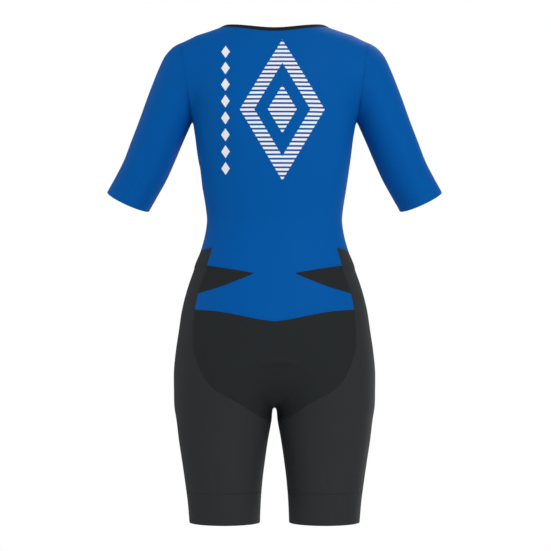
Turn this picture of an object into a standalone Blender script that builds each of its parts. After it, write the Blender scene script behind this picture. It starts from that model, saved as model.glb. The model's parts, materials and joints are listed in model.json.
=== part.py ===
"""One-piece triathlon speedsuit in its worn, hollow shape, built from its cut panels.

Metres, +Z up. +X is the wearer's left, -Y the wearer's front and +Y the back. The origin is
on the middle line at the height of the neck side points, where the wearer's shoulders carry
the suit. Every panel is a wall of cloth laid on one smooth form, which three tables of
sections describe: the body with both legs, and one arm.
"""
from dataclasses import dataclass
from math import atan2, cos, degrees, pi, radians, sin

import bmesh
import bpy
import numpy as np
from mathutils import Matrix, Vector

# Cloth and seams
CLOTH = 0.0014
BINDING_CLOTH = 0.0022
BINDING_PROUD = 0.0004
TAPE_CLOTH = 0.0008
PAD_CLOTH = 0.006
SEAM_GAP = 0.0003
TAPE_CLEARANCE = 0.0006
TAPE_END = 0.0020
PAD_CLEARANCE = 0.0005

# Levels of the suit, measured down from the neck side points
NECK_SIDE = -0.0035
NECK_BACK = -0.0157
NECK_FRONT = -0.0520
BINDING_SIDE_TOP = -0.0008
BINDING_BACK_TOP = -0.0102
BINDING_FRONT_TOP = -0.0466
RAY_CENTRE = -0.195
RISE_SCALE = 0.12
SEAT_RAY_CENTRE = -0.600
LEG_BAND_SEAM = -0.852
HEM = -0.9095
GUSSET = -0.725

# Half sections of the body: a tube about an upright axis that stands off the middle line by
# "centre". Its mirror image is merged with it over a width of "blend".
BODY_COLUMNS = ("height", "centre", "side", "back", "front", "power", "blend")
BODY_ROWS = (
    (0.030, 0.0, 0.0660, 0.0478, 0.0389, 2.00, 0.0),
    (0.010, 0.0, 0.0740, 0.0528, 0.0425, 2.00, 0.0),
    (0.001, 0.0, 0.0850, 0.0559, 0.0447, 2.00, 0.0),
    (-0.0055, 0.0, 0.1000, 0.0586, 0.0466, 2.00, 0.0),
    (-0.013, 0.0, 0.1210, 0.0622, 0.0492, 2.02, 0.0),
    (-0.020, 0.0, 0.1420, 0.0658, 0.0519, 2.05, 0.0),
    (-0.0275, 0.0, 0.1570, 0.0699, 0.0550, 2.08, 0.0),
    (-0.040, 0.0, 0.1700, 0.0768, 0.0608, 2.12, 0.0),
    (-0.060, 0.0, 0.1710, 0.0870, 0.0710, 2.20, 0.0),
    (-0.090, 0.0, 0.1670, 0.0980, 0.0860, 2.30, 0.0),
    (-0.130, 0.0, 0.1580, 0.1060, 0.1010, 2.35, 0.0),
    (-0.1775, 0.0, 0.1490, 0.1070, 0.1120, 2.38, 0.0),
    (-0.210, 0.0, 0.1437, 0.1030, 0.1140, 2.38, 0.0),
    (-0.247, 0.0, 0.1390, 0.0960, 0.1100, 2.35, 0.0),
    (-0.302, 0.0, 0.1310, 0.0840, 0.0990, 2.28, 0.0),
    (-0.339, 0.0, 0.1252, 0.0775, 0.0940, 2.22, 0.0),
    (-0.357, 0.0, 0.1235, 0.0755, 0.0920, 2.20, 0.0),
    (-0.375, 0.0, 0.1254, 0.0765, 0.0920, 2.20, 0.0),
    (-0.412, 0.0, 0.1345, 0.0840, 0.0940, 2.20, 0.0),
    (-0.448, 0.0, 0.1473, 0.0955, 0.0980, 2.20, 0.0),
    (-0.485, 0.010, 0.1500, 0.1080, 0.1005, 2.19, 0.006),
    (-0.522, 0.022, 0.1473, 0.1180, 0.1020, 2.17, 0.020),
    (-0.558, 0.036, 0.1388, 0.1240, 0.1015, 2.14, 0.035),
    (-0.595, 0.052, 0.1283, 0.1265, 0.0995, 2.10, 0.050),
    (-0.631, 0.068, 0.1159, 0.1240, 0.0970, 2.07, 0.060),
    (-0.668, 0.0825, 0.1015, 0.1150, 0.0950, 2.04, 0.055),
    (-0.700, 0.0927, 0.0903, 0.1035, 0.0925, 2.00, 0.010),
    (-0.723, 0.0924, 0.0869, 0.0965, 0.0905, 2.00, 0.004),
    (-0.759, 0.0935, 0.0815, 0.0890, 0.0870, 2.00, 0.003),
    (-0.796, 0.0934, 0.0760, 0.0845, 0.0830, 2.00, 0.003),
    (-0.833, 0.0930, 0.0710, 0.0800, 0.0790, 2.00, 0.003),
    (-0.869, 0.0920, 0.0672, 0.0765, 0.0755, 2.00, 0.003),
    (-0.915, 0.0910, 0.0642, 0.0718, 0.0712, 2.00, 0.003),
)

# Sections of the left arm along its axis, from the cuff up into the shoulder
CUFF_CENTRE = np.array((0.2698, -0.0375, -0.3225))
ARM_LEAN = radians(25)
ARM_FORWARD = radians(9)
ARM_UP = np.array((-sin(ARM_LEAN) * cos(ARM_FORWARD), sin(ARM_FORWARD), cos(ARM_LEAN) * cos(ARM_FORWARD)))
ARM_OUT = np.array((cos(ARM_LEAN), 0.0, sin(ARM_LEAN)))
ARM_BACK = np.cross(ARM_UP, ARM_OUT)
ARM_END = 0.325
ARM_POWER = 2.0
ARM_COLUMNS = ("height", "outer", "inner", "back", "front")
ARM_ROWS = (
    (-0.030, 0.0430, 0.0415, 0.0440, 0.0440),
    (0.000, 0.0425, 0.0425, 0.0440, 0.0440),
    (0.030, 0.0402, 0.0450, 0.0446, 0.0446),
    (0.065, 0.0385, 0.0478, 0.0455, 0.0455),
    (0.105, 0.0408, 0.0476, 0.0465, 0.0465),
    (0.144, 0.0430, 0.0466, 0.0480, 0.0480),
    (0.183, 0.0462, 0.0462, 0.0510, 0.0500),
    (0.221, 0.0485, 0.0460, 0.0530, 0.0510),
    (0.250, 0.0495, 0.0450, 0.0520, 0.0500),
    (0.280, 0.0470, 0.0400, 0.0460, 0.0440),
    (0.301, 0.0360, 0.0300, 0.0360, 0.0340),
    (0.315, 0.0190, 0.0180, 0.0220, 0.0220),
    (0.325, 0.0060, 0.0060, 0.0060, 0.0060),
)
ARM_BLEND_COLUMNS = ("height", "blend")
ARM_BLEND_ROWS = (
    (-0.200, 0.005), (-0.175, 0.006), (-0.150, 0.016), (-0.120, 0.035),
    (-0.080, 0.045), (-0.050, 0.028), (-0.025, 0.012),
)

# The armhole lies in a plane that leans out a little towards the shoulder
ARMHOLE_CENTRE = np.array((0.1609, 0.0, -0.104))
ARMHOLE_LEAN = radians(7.7)
ARMHOLE_SEAM_TURN = radians(5)
SLEEVE_TURN_SHARE = 0.55

# Seams as seen from behind or in front: half width and height of each turning point
REAR_SEAM = (
    (0.1135, -0.4077), (0.1222, -0.4402), (0.1380, -0.4906), (0.1437, -0.5200),
    (0.1459, -0.5484), (0.1455, -0.5923), (0.1395, -0.6100), (0.1252, -0.6420),
    (0.1026, -0.6650), (0.0733, -0.6810), (0.0528, -0.6937), (0.0314, -0.7095),
)
REAR_WEDGE_TOP, REAR_WEDGE_FOOT, REAR_BAND_FOOT, REAR_THIGH = 1, 2, 3, 7
WEDGE_UPPER_EDGE = ((0.0373, -0.4541), (0.0786, -0.4467), (0.1222, -0.4402))
WEDGE_LOWER_EDGE = ((0.0373, -0.4541), (0.0668, -0.4668), (0.1012, -0.4797), (0.1380, -0.4906))
BAND_LOWER_EDGE = (
    (0.0, -0.5400), (0.0225, -0.5371), (0.0627, -0.5293), (0.1031, -0.5225), (0.1437, -0.5200),
)
FRONT_SEAM = (
    (0.1050, -0.4350), (0.1040, -0.4900), (0.1060, -0.5500), (0.1020, -0.6050),
    (0.0850, -0.6500), (0.0600, -0.6820), (0.0330, -0.7070),
)
FRONT_THIGH = 4
WAIST_SEAM = -0.4500
CORNER_DROP = 0.0040
SIDE_SEAM_TURN = radians(-4)
SIDE_PANEL_TOP = -0.4170

# Grid counts of the panels
NECK_COLUMNS = 2
WEDGE_COLUMNS = 4
OUTER_COLUMNS = 2
FRONT_COLUMNS = 6
FRONT_SIDE_COLUMNS = 5
SIDE_ROWS = 7
ARMHOLE_ROWS = 8
SHOULDER_ROWS = 3
SEAT_UPPER_ROWS = 4
SEAT_LOWER_ROWS = 6
SEAT_ROWS = SEAT_UPPER_ROWS + SEAT_LOWER_ROWS
BAND_ROWS = 2
WEDGE_ROWS = 2
CORNER_ROWS = 1
INSEAM_ROWS = 5
LEG_COLUMNS = 2 * SEAT_LOWER_ROWS + OUTER_COLUMNS + FRONT_SIDE_COLUMNS
SLEEVE_RINGS = 8
LEG_BAND_ROWS = 2
PAD_COLUMNS = 3
PAD_FIRST_ROW = 3
PAD_FRONT_FIRST_ROW = 8

# Zip
ZIP_HALF_OPENING = 0.0055
TAPE_HALF_WIDTH = 0.0120
SLIDER_DROP = 0.0165
SLIDER_SIZE = (0.0090, 0.0110, 0.0036)
SLIDER_SEAT = 0.0012
HINGE_HEIGHT = 0.00115
ARCH_SIZE = (0.0016, 0.0050, 0.0032)
ARCH_SLOT = (0.0030, 0.0030, 0.0023)
TAB_WIDTH = 0.0054
TAB_LENGTH = 0.0220
TAB_THICKNESS = 0.0012
TAB_WINDOW = (0.0026, 0.0034)
EDGE_ROUNDING = 0.0004
ROUNDING_SEGMENTS = 2
CUTTER_DEPTH = 0.0050

# Finishes: colour, roughness and metal share
FINISHES = {
    "blue_knit": ((0.004, 0.090, 0.340), 0.62, 0.0),
    "seat_knit": ((0.020, 0.022, 0.023), 0.72, 0.0),
    "leg_knit": ((0.028, 0.029, 0.032), 0.66, 0.0),
    "leg_band_knit": ((0.026, 0.027, 0.030), 0.66, 0.0),
    "neck_binding_knit": ((0.018, 0.020, 0.024), 0.75, 0.0),
    "pad_fleece": ((0.045, 0.050, 0.058), 0.85, 0.0),
    "zip_tape_weave": ((0.004, 0.080, 0.300), 0.70, 0.0),
    "zip_metal": ((0.120, 0.125, 0.135), 0.38, 1.0),
}

# Solving
TINY = 1e-6
WELD = 0.00002
NORMAL_STEP = 1e-5
MARCH_STEPS = 40
MARCH_SHARE = 0.7
SHORTEST_STEP = 2e-5
LONGEST_STEP = 0.02
HALVINGS = 24
SETTLE_STEPS = 3
RELAX_ROUNDS = 30
SAMPLES_PER_CELL = 20
MEAN_RADIUS = 0.12
CROTCH_MARGIN = 0.01
LEAST_SPREAD = 0.08
BACKWARDS = np.array((0.0, 1.0, 0.0))
FORWARDS = -BACKWARDS
DOWNWARDS = np.array((0.0, 0.0, -1.0))


class Sections:
    """A table of sections, read between its rows as smooth curves."""

    def __init__(self, columns, rows):
        values = np.array(sorted(rows))
        self.knots = values[:, 0]
        self.values = dict(zip(columns[1:], values[:, 1:].T))
        self.slopes = {name: np.gradient(value, self.knots) for name, value in self.values.items()}

    def at(self, name, place):
        """Value of one column at a place along the table."""
        value = self.values[name]
        slope = self.slopes[name]
        index = np.clip(np.searchsorted(self.knots, place) - 1, 0, len(self.knots) - 2)
        span = self.knots[index + 1] - self.knots[index]
        t = np.clip((place - self.knots[index]) / span, 0, 1)
        rise = 3 * t ** 2 - 2 * t ** 3
        start = t ** 3 - 2 * t ** 2 + t
        end = t ** 3 - t ** 2
        return (value[index] * (1 - rise) + value[index + 1] * rise
                + span * (slope[index] * start + slope[index + 1] * end))


BODY = Sections(BODY_COLUMNS, BODY_ROWS)
ARM = Sections(ARM_COLUMNS, ARM_ROWS)
ARM_BLEND = Sections(ARM_BLEND_COLUMNS, ARM_BLEND_ROWS)


def outside(across, deep, half_across, half_deep, power):
    """Distance from an oval section's edge, along the line to its centre."""
    reach = np.hypot(across, deep) + TINY
    norm = (np.abs(across / half_across) ** power + np.abs(deep / half_deep) ** power) ** (1 / power)
    return reach - reach / (norm + TINY)


def merge(first, second, width):
    """Union of two distances with a soft fillet of the given width."""
    width = np.maximum(width, TINY)
    overlap = np.maximum(width - np.abs(first - second), 0) / width
    return np.minimum(first, second) - overlap ** 2 * width / 4


def form(points):
    """Distance of points on the wearer's left from the suit's outer surface."""
    x, y, z = points[..., 0], points[..., 1], points[..., 2]
    centre = BODY.at("centre", z)
    side = BODY.at("side", z)
    power = BODY.at("power", z)
    depth = np.where(y > 0, BODY.at("back", z), BODY.at("front", z))
    near = outside(x - centre, y, side, depth, power)
    far = outside(x + centre, y, side, depth, power)
    body = merge(near, far, BODY.at("blend", z))
    offset = points - CUFF_CENTRE
    along = offset @ ARM_UP
    out = offset @ ARM_OUT
    rear = offset @ ARM_BACK
    width = np.where(out > 0, ARM.at("outer", along), ARM.at("inner", along))
    depth = np.where(rear > 0, ARM.at("back", along), ARM.at("front", along))
    arm = np.maximum(outside(out, rear, width, depth, ARM_POWER), along - ARM_END)
    return merge(body, arm, ARM_BLEND.at("blend", z))


def slope(points):
    """Gradient of the form at the given points."""
    steps = NORMAL_STEP * np.eye(3)
    rises = [form(points + step) - form(points - step) for step in steps]
    return np.stack(rises, axis=-1) / (2 * NORMAL_STEP)


def outward(points):
    """Unit normals of the form at the given points."""
    slopes = slope(points)
    return slopes / np.linalg.norm(slopes, axis=-1, keepdims=True)


def cast(origins, directions):
    """First point where rays from inside the form leave it."""
    origins, directions = np.broadcast_arrays(origins, directions)
    low = np.zeros(origins.shape[:-1])
    high = np.full(origins.shape[:-1], np.nan)
    for _ in range(MARCH_STEPS):
        value = form(origins + directions * low[..., None])
        step = low + np.clip(-MARCH_SHARE * value, SHORTEST_STEP, LONGEST_STEP)
        ahead = form(origins + directions * step[..., None])
        open_ray = np.isnan(high)
        leaves = open_ray & (ahead > 0)
        high = np.where(leaves, step, high)
        low = np.where(open_ray & ~leaves, step, low)
    high = np.where(np.isnan(high), low + SHORTEST_STEP, high)
    for _ in range(HALVINGS):
        middle = (low + high) / 2
        inside = form(origins + directions * middle[..., None]) < 0
        low = np.where(inside, middle, low)
        high = np.where(inside, high, middle)
    return origins + directions * ((low + high) / 2)[..., None]


def rays(turn, level):
    """Rays of the body's two coordinates.

    A level below zero is a height under RAY_CENTRE, with a level ray from the section's axis.
    A level above zero is an elevation times RISE_SCALE, with a ray from the fixed centre.
    """
    height = RAY_CENTRE + np.minimum(level, 0)
    origins = np.stack([BODY.at("centre", height), np.zeros_like(height), height], axis=-1)
    rise = np.maximum(level, 0) / RISE_SCALE
    flat = np.cos(rise)
    directions = np.stack([flat * np.cos(turn), flat * np.sin(turn), np.sin(rise)], axis=-1)
    return origins, directions


def place(coordinates):
    """Points on the form at body coordinates (turn, level)."""
    return cast(*rays(coordinates[..., 0], coordinates[..., 1]))


def coordinates_of(points, front=False):
    """Body coordinates of points on the form; front turns the crotch line to minus pi."""
    x, y, z = points[..., 0], points[..., 1], points[..., 2]
    below = z <= RAY_CENTRE
    centre = np.where(below, BODY.at("centre", z), 0)
    turn = np.arctan2(y, x - centre)
    if front:
        turn = np.where(turn > pi - CROTCH_MARGIN, turn - 2 * pi, turn)
    rise = RISE_SCALE * np.arctan2(z - RAY_CENTRE, np.hypot(x, y))
    return np.stack([turn, np.where(below, z - RAY_CENTRE, rise)], axis=-1)


@dataclass
class Edge:
    """Points along one edge of a panel, with their body coordinates."""

    points: np.ndarray
    coordinates: np.ndarray

    def reverse(self):
        """The same edge from its other end."""
        return Edge(self.points[::-1], self.coordinates[::-1])


def joined(*edges):
    """One edge from edges that follow each other and share their ends."""
    points = [edges[0].points] + [edge.points[1:] for edge in edges[1:]]
    coordinates = [edges[0].coordinates] + [edge.coordinates[1:] for edge in edges[1:]]
    return Edge(np.concatenate(points), np.concatenate(coordinates))


def edge_at(points):
    """An edge through points of the form."""
    points = np.array(points)
    return Edge(points, coordinates_of(points))


def as_front(edge):
    """The same edge with its coordinates on the front side of the crotch line."""
    return Edge(edge.points, coordinates_of(edge.points, True))


def evenly(points, coordinates, count):
    """Coordinates spread evenly over the length of a dense line of points."""
    steps = np.linalg.norm(np.diff(points, axis=0), axis=1)
    length = np.concatenate([[0], np.cumsum(steps)])
    wanted = np.linspace(0, length[-1], count + 1)
    return np.stack([np.interp(wanted, length, column) for column in coordinates.T], axis=-1)


class Seam:
    """A smooth curve on the form through control coordinates."""

    def __init__(self, controls):
        controls = np.array(controls)
        steps = np.linalg.norm(np.diff(controls * (MEAN_RADIUS, 1.0), axis=0), axis=1)
        self.knots = np.concatenate([[0], np.cumsum(steps)])
        rows = [(knot, turn, level) for knot, (turn, level) in zip(self.knots, controls)]
        self.table = Sections(("along", "turn", "level"), rows)

    def section(self, first, last, count):
        """The stretch between two control points, cut into equal lengths."""
        along = np.linspace(self.knots[first], self.knots[last], SAMPLES_PER_CELL * count + 1)
        dense = np.stack([self.table.at("turn", along), self.table.at("level", along)], axis=-1)
        coordinates = evenly(place(dense), dense, count)
        return Edge(place(coordinates), coordinates)

    def whole(self, count):
        """The whole curve, cut into equal lengths."""
        return self.section(0, len(self.knots) - 1, count)


def seen_along(direction, rows):
    """Points on the form at half widths and heights, by level rays in one direction."""
    rows = np.array(rows)
    origins = np.stack([rows[:, 0], np.zeros(len(rows)), rows[:, 1]], axis=-1)
    return cast(origins, direction)


def seen_from_behind(rows):
    """Points on the back of the form at half widths and heights."""
    return seen_along(BACKWARDS, rows)


def seen_in_front(rows):
    """Points on the front of the form at half widths and heights."""
    return seen_along(FORWARDS, rows)


def middle_back(first, last, count):
    """An edge down the middle of the back between two heights."""
    return edge_at(seen_from_behind([(0.0, height) for height in np.linspace(first, last, count + 1)]))


def level_of(height):
    """Level coordinate of a height under the ray centre."""
    return height - RAY_CENTRE


def neck_height(turn, side, back, front):
    """Height of a neck line that dips towards the back and the front."""
    dip = np.where(turn > 0, back - side, front - side)
    return side + dip * np.sin(turn) ** 2


def neck_line(turns, side, back, front):
    """Points of a neck line on the form at the given turns."""
    heights = neck_height(turns, side, back, front)
    origins = np.stack([np.zeros_like(turns), np.zeros_like(turns), heights], axis=-1)
    directions = np.stack([np.cos(turns), np.sin(turns), np.zeros_like(turns)], axis=-1)
    return cast(origins, directions)


def arm_ring(share, angles):
    """Points around the sleeve; share runs from the armhole, 0, to the cuff, 1."""
    turn_share = np.clip(share / SLEEVE_TURN_SHARE, 0, 1)
    eased = turn_share * turn_share * (3 - 2 * turn_share)
    lean = ARMHOLE_LEAN + (pi / 2 - ARM_LEAN - ARMHOLE_LEAN) * eased
    centre = ARMHOLE_CENTRE + (CUFF_CENTRE - ARMHOLE_CENTRE) * share
    up = np.array((sin(lean), 0.0, cos(lean)))
    back = BACKWARDS + (ARM_BACK - BACKWARDS) * eased
    back /= np.linalg.norm(back)
    return cast(centre, np.cos(angles)[:, None] * back + np.sin(angles)[:, None] * up)


def armhole_angles(first, last, count):
    """Angles around the armhole between two given in degrees."""
    return np.linspace(radians(first), radians(last), count + 1)


def middle_line(start, end, count):
    """Points on the middle plane between two of its points, by rays from the seat's centre."""
    centre = np.array((0.0, 0.0, SEAT_RAY_CENTRE))
    side = 1.0 if start[1] > 0 else -1.0
    first = atan2(start[2] - centre[2], side * start[1])
    last = -pi / 2 if abs(end[1]) < TINY else atan2(end[2] - centre[2], side * end[1])
    angles = np.linspace(first, last, SAMPLES_PER_CELL * count + 1)[:, None]

    def points_at(values):
        directions = np.hstack([0 * values, side * np.cos(values), np.sin(values)])
        return cast(centre, directions)

    return points_at(evenly(points_at(angles), angles, count))


def zip_side_points(half_width, heights):
    """Points in front, a little off the middle plane, at the given heights."""
    return seen_in_front([(half_width, height) for height in heights])


@dataclass
class Layout:
    """All edges that two or more panels share, on the wearer's left."""

    side_seam: Edge
    armhole_back: Edge
    armhole_front: Edge
    shoulder: Edge
    neck_back: Edge
    neck_front: Edge
    centre_back: Edge
    zip_edge: Edge
    corner_row: Edge
    top_back: Edge
    top_front: Edge
    wedge_neck: Edge
    wedge_upper: Edge
    wedge_lower: Edge
    rear_corner: Edge
    rear_wedge: Edge
    rear_band: Edge
    rear_seat: Edge
    rear_thigh: Edge
    band_foot: Edge
    seat_middle: Edge
    gusset: Edge
    front_seam: Edge
    front_thigh: Edge
    thigh_row: Edge
    front_waist: Edge
    front_middle: Edge
    inseam: Edge
    leg_band_seam: Edge
    sleeve_angles: np.ndarray


def make_layout():
    """Work out every shared edge from the form and the seam tables."""
    quarter = 90 + degrees(ARMHOLE_SEAM_TURN)
    back_angles = armhole_angles(-quarter, quarter, ARMHOLE_ROWS)
    front_angles = armhole_angles(360 - quarter, quarter, ARMHOLE_ROWS)
    armhole_back = edge_at(arm_ring(0, back_angles))
    armhole_front = edge_at(arm_ring(0, front_angles))
    sleeve_angles = np.concatenate([back_angles, front_angles[::-1][1:]])

    levels = (NECK_SIDE, NECK_BACK, NECK_FRONT)
    shoulder_turn = armhole_back.coordinates[-1][0]
    neck_side = neck_line(np.array([shoulder_turn]), *levels)[0]
    zip_top = zip_side_points(ZIP_HALF_OPENING, [NECK_FRONT])[0]
    zip_turn = atan2(zip_top[1], zip_top[0])
    back_columns = NECK_COLUMNS + WEDGE_COLUMNS + OUTER_COLUMNS
    front_columns = FRONT_COLUMNS + FRONT_SIDE_COLUMNS
    neck_back = edge_at(neck_line(np.linspace(pi / 2, shoulder_turn, back_columns + 1), *levels))
    neck_front = edge_at(neck_line(np.linspace(zip_turn, shoulder_turn, front_columns + 1), *levels))
    shoulder = Seam(coordinates_of(np.array([armhole_back.points[-1], neck_side]))).whole(SHOULDER_ROWS)

    rear_controls = list(coordinates_of(seen_from_behind(REAR_SEAM)))
    rear = Seam(rear_controls + [(pi, level_of(GUSSET))])
    front_controls = list(coordinates_of(seen_in_front(FRONT_SEAM)))
    front = Seam(front_controls + [(-pi, level_of(GUSSET))])
    front_upper_rows = SEAT_UPPER_ROWS + BAND_ROWS + WEDGE_ROWS + CORNER_ROWS

    side_point = (SIDE_SEAM_TURN, level_of(SIDE_PANEL_TOP))
    top_back = Seam([rear_controls[0], side_point]).whole(OUTER_COLUMNS)
    top_front = Seam([side_point, front_controls[0]]).whole(FRONT_SIDE_COLUMNS)
    side_seam = Seam([side_point, armhole_back.coordinates[0]]).whole(SIDE_ROWS)

    columns = NECK_COLUMNS + WEDGE_COLUMNS
    corner_row = Seam([(pi / 2, rear_controls[0][1] - CORNER_DROP), rear_controls[0]]).whole(columns)
    upper = coordinates_of(seen_from_behind(WEDGE_UPPER_EDGE))
    lower = coordinates_of(seen_from_behind(WEDGE_LOWER_EDGE))
    band_foot = Seam(coordinates_of(seen_from_behind(BAND_LOWER_EDGE))).whole(columns)
    notch_middle = seen_from_behind([(0.0, WEDGE_UPPER_EDGE[0][1])])

    back_rows = SIDE_ROWS + ARMHOLE_ROWS + SHOULDER_ROWS
    middle = [corner_row.coordinates[0], (pi / 2, neck_back.coordinates[0][1])]
    waist_centre = seen_in_front([(0.0, WAIST_SEAM)])[0]
    front_waist = Seam([coordinates_of(waist_centre), front_controls[0]]).whole(FRONT_COLUMNS)
    share = ZIP_HALF_OPENING / front_waist.points[1][0]
    zip_foot = WAIST_SEAM + share * (front_waist.points[1][2] - WAIST_SEAM)
    zip_heights = np.linspace(zip_foot, neck_front.points[0][2], SAMPLES_PER_CELL * back_rows + 1)
    zip_dense = zip_side_points(ZIP_HALF_OPENING, zip_heights)
    zip_levels = evenly(zip_dense, zip_dense[:, 2:], back_rows)[:, 0]
    zip_edge = edge_at(zip_side_points(ZIP_HALF_OPENING, zip_levels))

    crotch = cast(np.array((0.0, 0.0, SEAT_RAY_CENTRE)), DOWNWARDS)
    gusset = Seam([(pi, level_of(crotch[2])), (pi, level_of(GUSSET))]).whole(columns)
    gusset.points[0] = crotch
    front_middle = middle_line(waist_centre, crotch, front_upper_rows + SEAT_LOWER_ROWS)
    side_columns = OUTER_COLUMNS + FRONT_SIDE_COLUMNS
    turns = (pi, -pi)
    return Layout(
        side_seam=side_seam,
        armhole_back=armhole_back,
        armhole_front=armhole_front,
        shoulder=shoulder,
        neck_back=neck_back,
        neck_front=neck_front,
        centre_back=Seam(middle).whole(back_rows),
        zip_edge=zip_edge,
        corner_row=corner_row,
        top_back=top_back,
        top_front=top_front,
        wedge_neck=Seam([coordinates_of(notch_middle)[0], upper[0]]).whole(NECK_COLUMNS),
        wedge_upper=Seam(upper).whole(WEDGE_COLUMNS),
        wedge_lower=Seam(lower).whole(WEDGE_COLUMNS),
        rear_corner=rear.section(0, REAR_WEDGE_TOP, CORNER_ROWS),
        rear_wedge=rear.section(REAR_WEDGE_TOP, REAR_WEDGE_FOOT, WEDGE_ROWS),
        rear_band=rear.section(REAR_WEDGE_FOOT, REAR_BAND_FOOT, BAND_ROWS),
        rear_seat=rear.section(REAR_BAND_FOOT, REAR_THIGH, SEAT_UPPER_ROWS),
        rear_thigh=rear.section(REAR_THIGH, len(rear_controls), SEAT_LOWER_ROWS),
        band_foot=band_foot,
        seat_middle=edge_at(middle_line(band_foot.points[0], crotch, SEAT_ROWS)),
        gusset=gusset,
        front_seam=front.section(0, FRONT_THIGH, front_upper_rows),
        front_thigh=front.section(FRONT_THIGH, len(front_controls), SEAT_LOWER_ROWS),
        thigh_row=Seam([rear_controls[REAR_THIGH], front_controls[FRONT_THIGH]]).whole(side_columns),
        front_waist=front_waist,
        front_middle=as_front(edge_at(front_middle)),
        inseam=Seam([(pi, level_of(LEG_BAND_SEAM)), (pi, level_of(GUSSET))]).whole(INSEAM_ROWS),
        leg_band_seam=Seam([(turn, level_of(LEG_BAND_SEAM)) for turn in turns]).whole(LEG_COLUMNS),
        sleeve_angles=sleeve_angles,
    )


def settle(points):
    """Move points that are near the form onto it, along its slope."""
    for _ in range(SETTLE_STEPS):
        slopes = slope(points)
        share = form(points) / (slopes ** 2).sum(axis=-1)
        points = points - slopes * share[..., None]
    return points


def relax(grid):
    """Spread the inner points of a grid evenly over the form."""
    for _ in range(RELAX_ROUNDS):
        around = grid[:-2, 1:-1] + grid[2:, 1:-1] + grid[1:-1, :-2] + grid[1:-1, 2:]
        grid[1:-1, 1:-1] = settle(around / 4)
    return grid


def fill(first_row, last_row, inner, outer):
    """Grid of points on the form between four edges; rows run from inner to outer."""
    across = np.linspace(0, 1, len(first_row.points))[None, :, None]
    along = np.linspace(0, 1, len(inner.points))[:, None, None]
    rows = (first_row.coordinates[None], last_row.coordinates[None])
    sides = (inner.coordinates[:, None], outer.coordinates[:, None])
    by_rows = rows[0] * (1 - along) + rows[1] * along
    by_sides = sides[0] * (1 - across) + sides[1] * across
    start = rows[0][:, :1] * (1 - across) + rows[0][:, -1:] * across
    end = rows[1][:, :1] * (1 - across) + rows[1][:, -1:] * across
    grid = place(by_rows + by_sides - (start * (1 - along) + end * along))
    grid[0], grid[-1] = first_row.points, last_row.points
    grid[:, 0], grid[:, -1] = inner.points, outer.points
    return relax(grid)


def add_grid(mesh, points):
    """Add a grid to the mesh and move its vertices to the points."""
    rows, columns = points.shape[:2]
    grid = bmesh.ops.create_grid(mesh, x_segments=columns - 1, y_segments=rows - 1, size=1)
    for vertex, point in zip(grid["verts"], points.reshape(-1, 3)):
        vertex.co = point


def inward_of(edge, face):
    """Unit vector in the face, square to the edge and into the face."""
    direction = (edge.verts[1].co - edge.verts[0].co).normalized()
    across = face.normal.cross(direction)
    middle = (edge.verts[0].co + edge.verts[1].co) / 2
    return across if across.dot(face.calc_center_median() - middle) > 0 else -across


def open_seams(mesh, gap, mirrored):
    """Draw every border back by half the seam gap, within the cloth."""
    moves = {}
    for edge in [edge for edge in mesh.edges if edge.is_boundary]:
        if mirrored and all(abs(vertex.co.x) < TINY for vertex in edge.verts):
            continue
        inward = inward_of(edge, edge.link_faces[0])
        for vertex in edge.verts:
            moves.setdefault(vertex, []).append(inward)
    for vertex, inwards in moves.items():
        total = sum(inwards, Vector())
        spread = 1 + inwards[0].dot(inwards[-1]) if len(inwards) > 1 else 1
        move = total * (gap / 2) / max(spread, LEAST_SPREAD)
        if mirrored and abs(vertex.co.x) < TINY:
            move.x = 0
        vertex.co += move


def face_outwards(mesh):
    """Make the faces agree, and point them away from the middle of the suit."""
    bmesh.ops.recalc_face_normals(mesh, faces=mesh.faces[:])
    middles = np.array([face.calc_center_median() for face in mesh.faces])
    normals = np.array([face.normal for face in mesh.faces])
    sides = np.where(middles[:, :1] < 0, (-1.0, 1.0, 1.0), (1.0, 1.0, 1.0))
    if (outward(middles * sides) * sides * normals).sum() < 0:
        bmesh.ops.reverse_faces(mesh, faces=mesh.faces[:])
    mesh.normal_update()


def material(name):
    """A plain principled material from the table of finishes."""
    colour, roughness, metallic = FINISHES[name]
    made = bpy.data.materials.new(name)
    made.use_nodes = True
    shader = made.node_tree.nodes["Principled BSDF"]
    shader.inputs["Base Color"].default_value = (*colour, 1)
    shader.inputs["Roughness"].default_value = roughness
    shader.inputs["Metallic"].default_value = metallic
    return made


def add_object(name, mesh, look, collection):
    """Turn a bmesh into an object of the suit."""
    data = bpy.data.meshes.new(name)
    mesh.to_mesh(data)
    mesh.free()
    data.shade_smooth()
    data.materials.append(look)
    made = bpy.data.objects.new(name, data)
    collection.objects.link(made)
    return made


def mirror_half(mesh):
    """Add the wearer's right half to a sheet that is open at the middle plane."""
    halves = mesh.verts[:] + mesh.edges[:] + mesh.faces[:]
    bmesh.ops.mirror(mesh, geom=halves, axis="X", merge_dist=WELD)
    bmesh.ops.recalc_face_normals(mesh, faces=mesh.faces[:])


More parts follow.
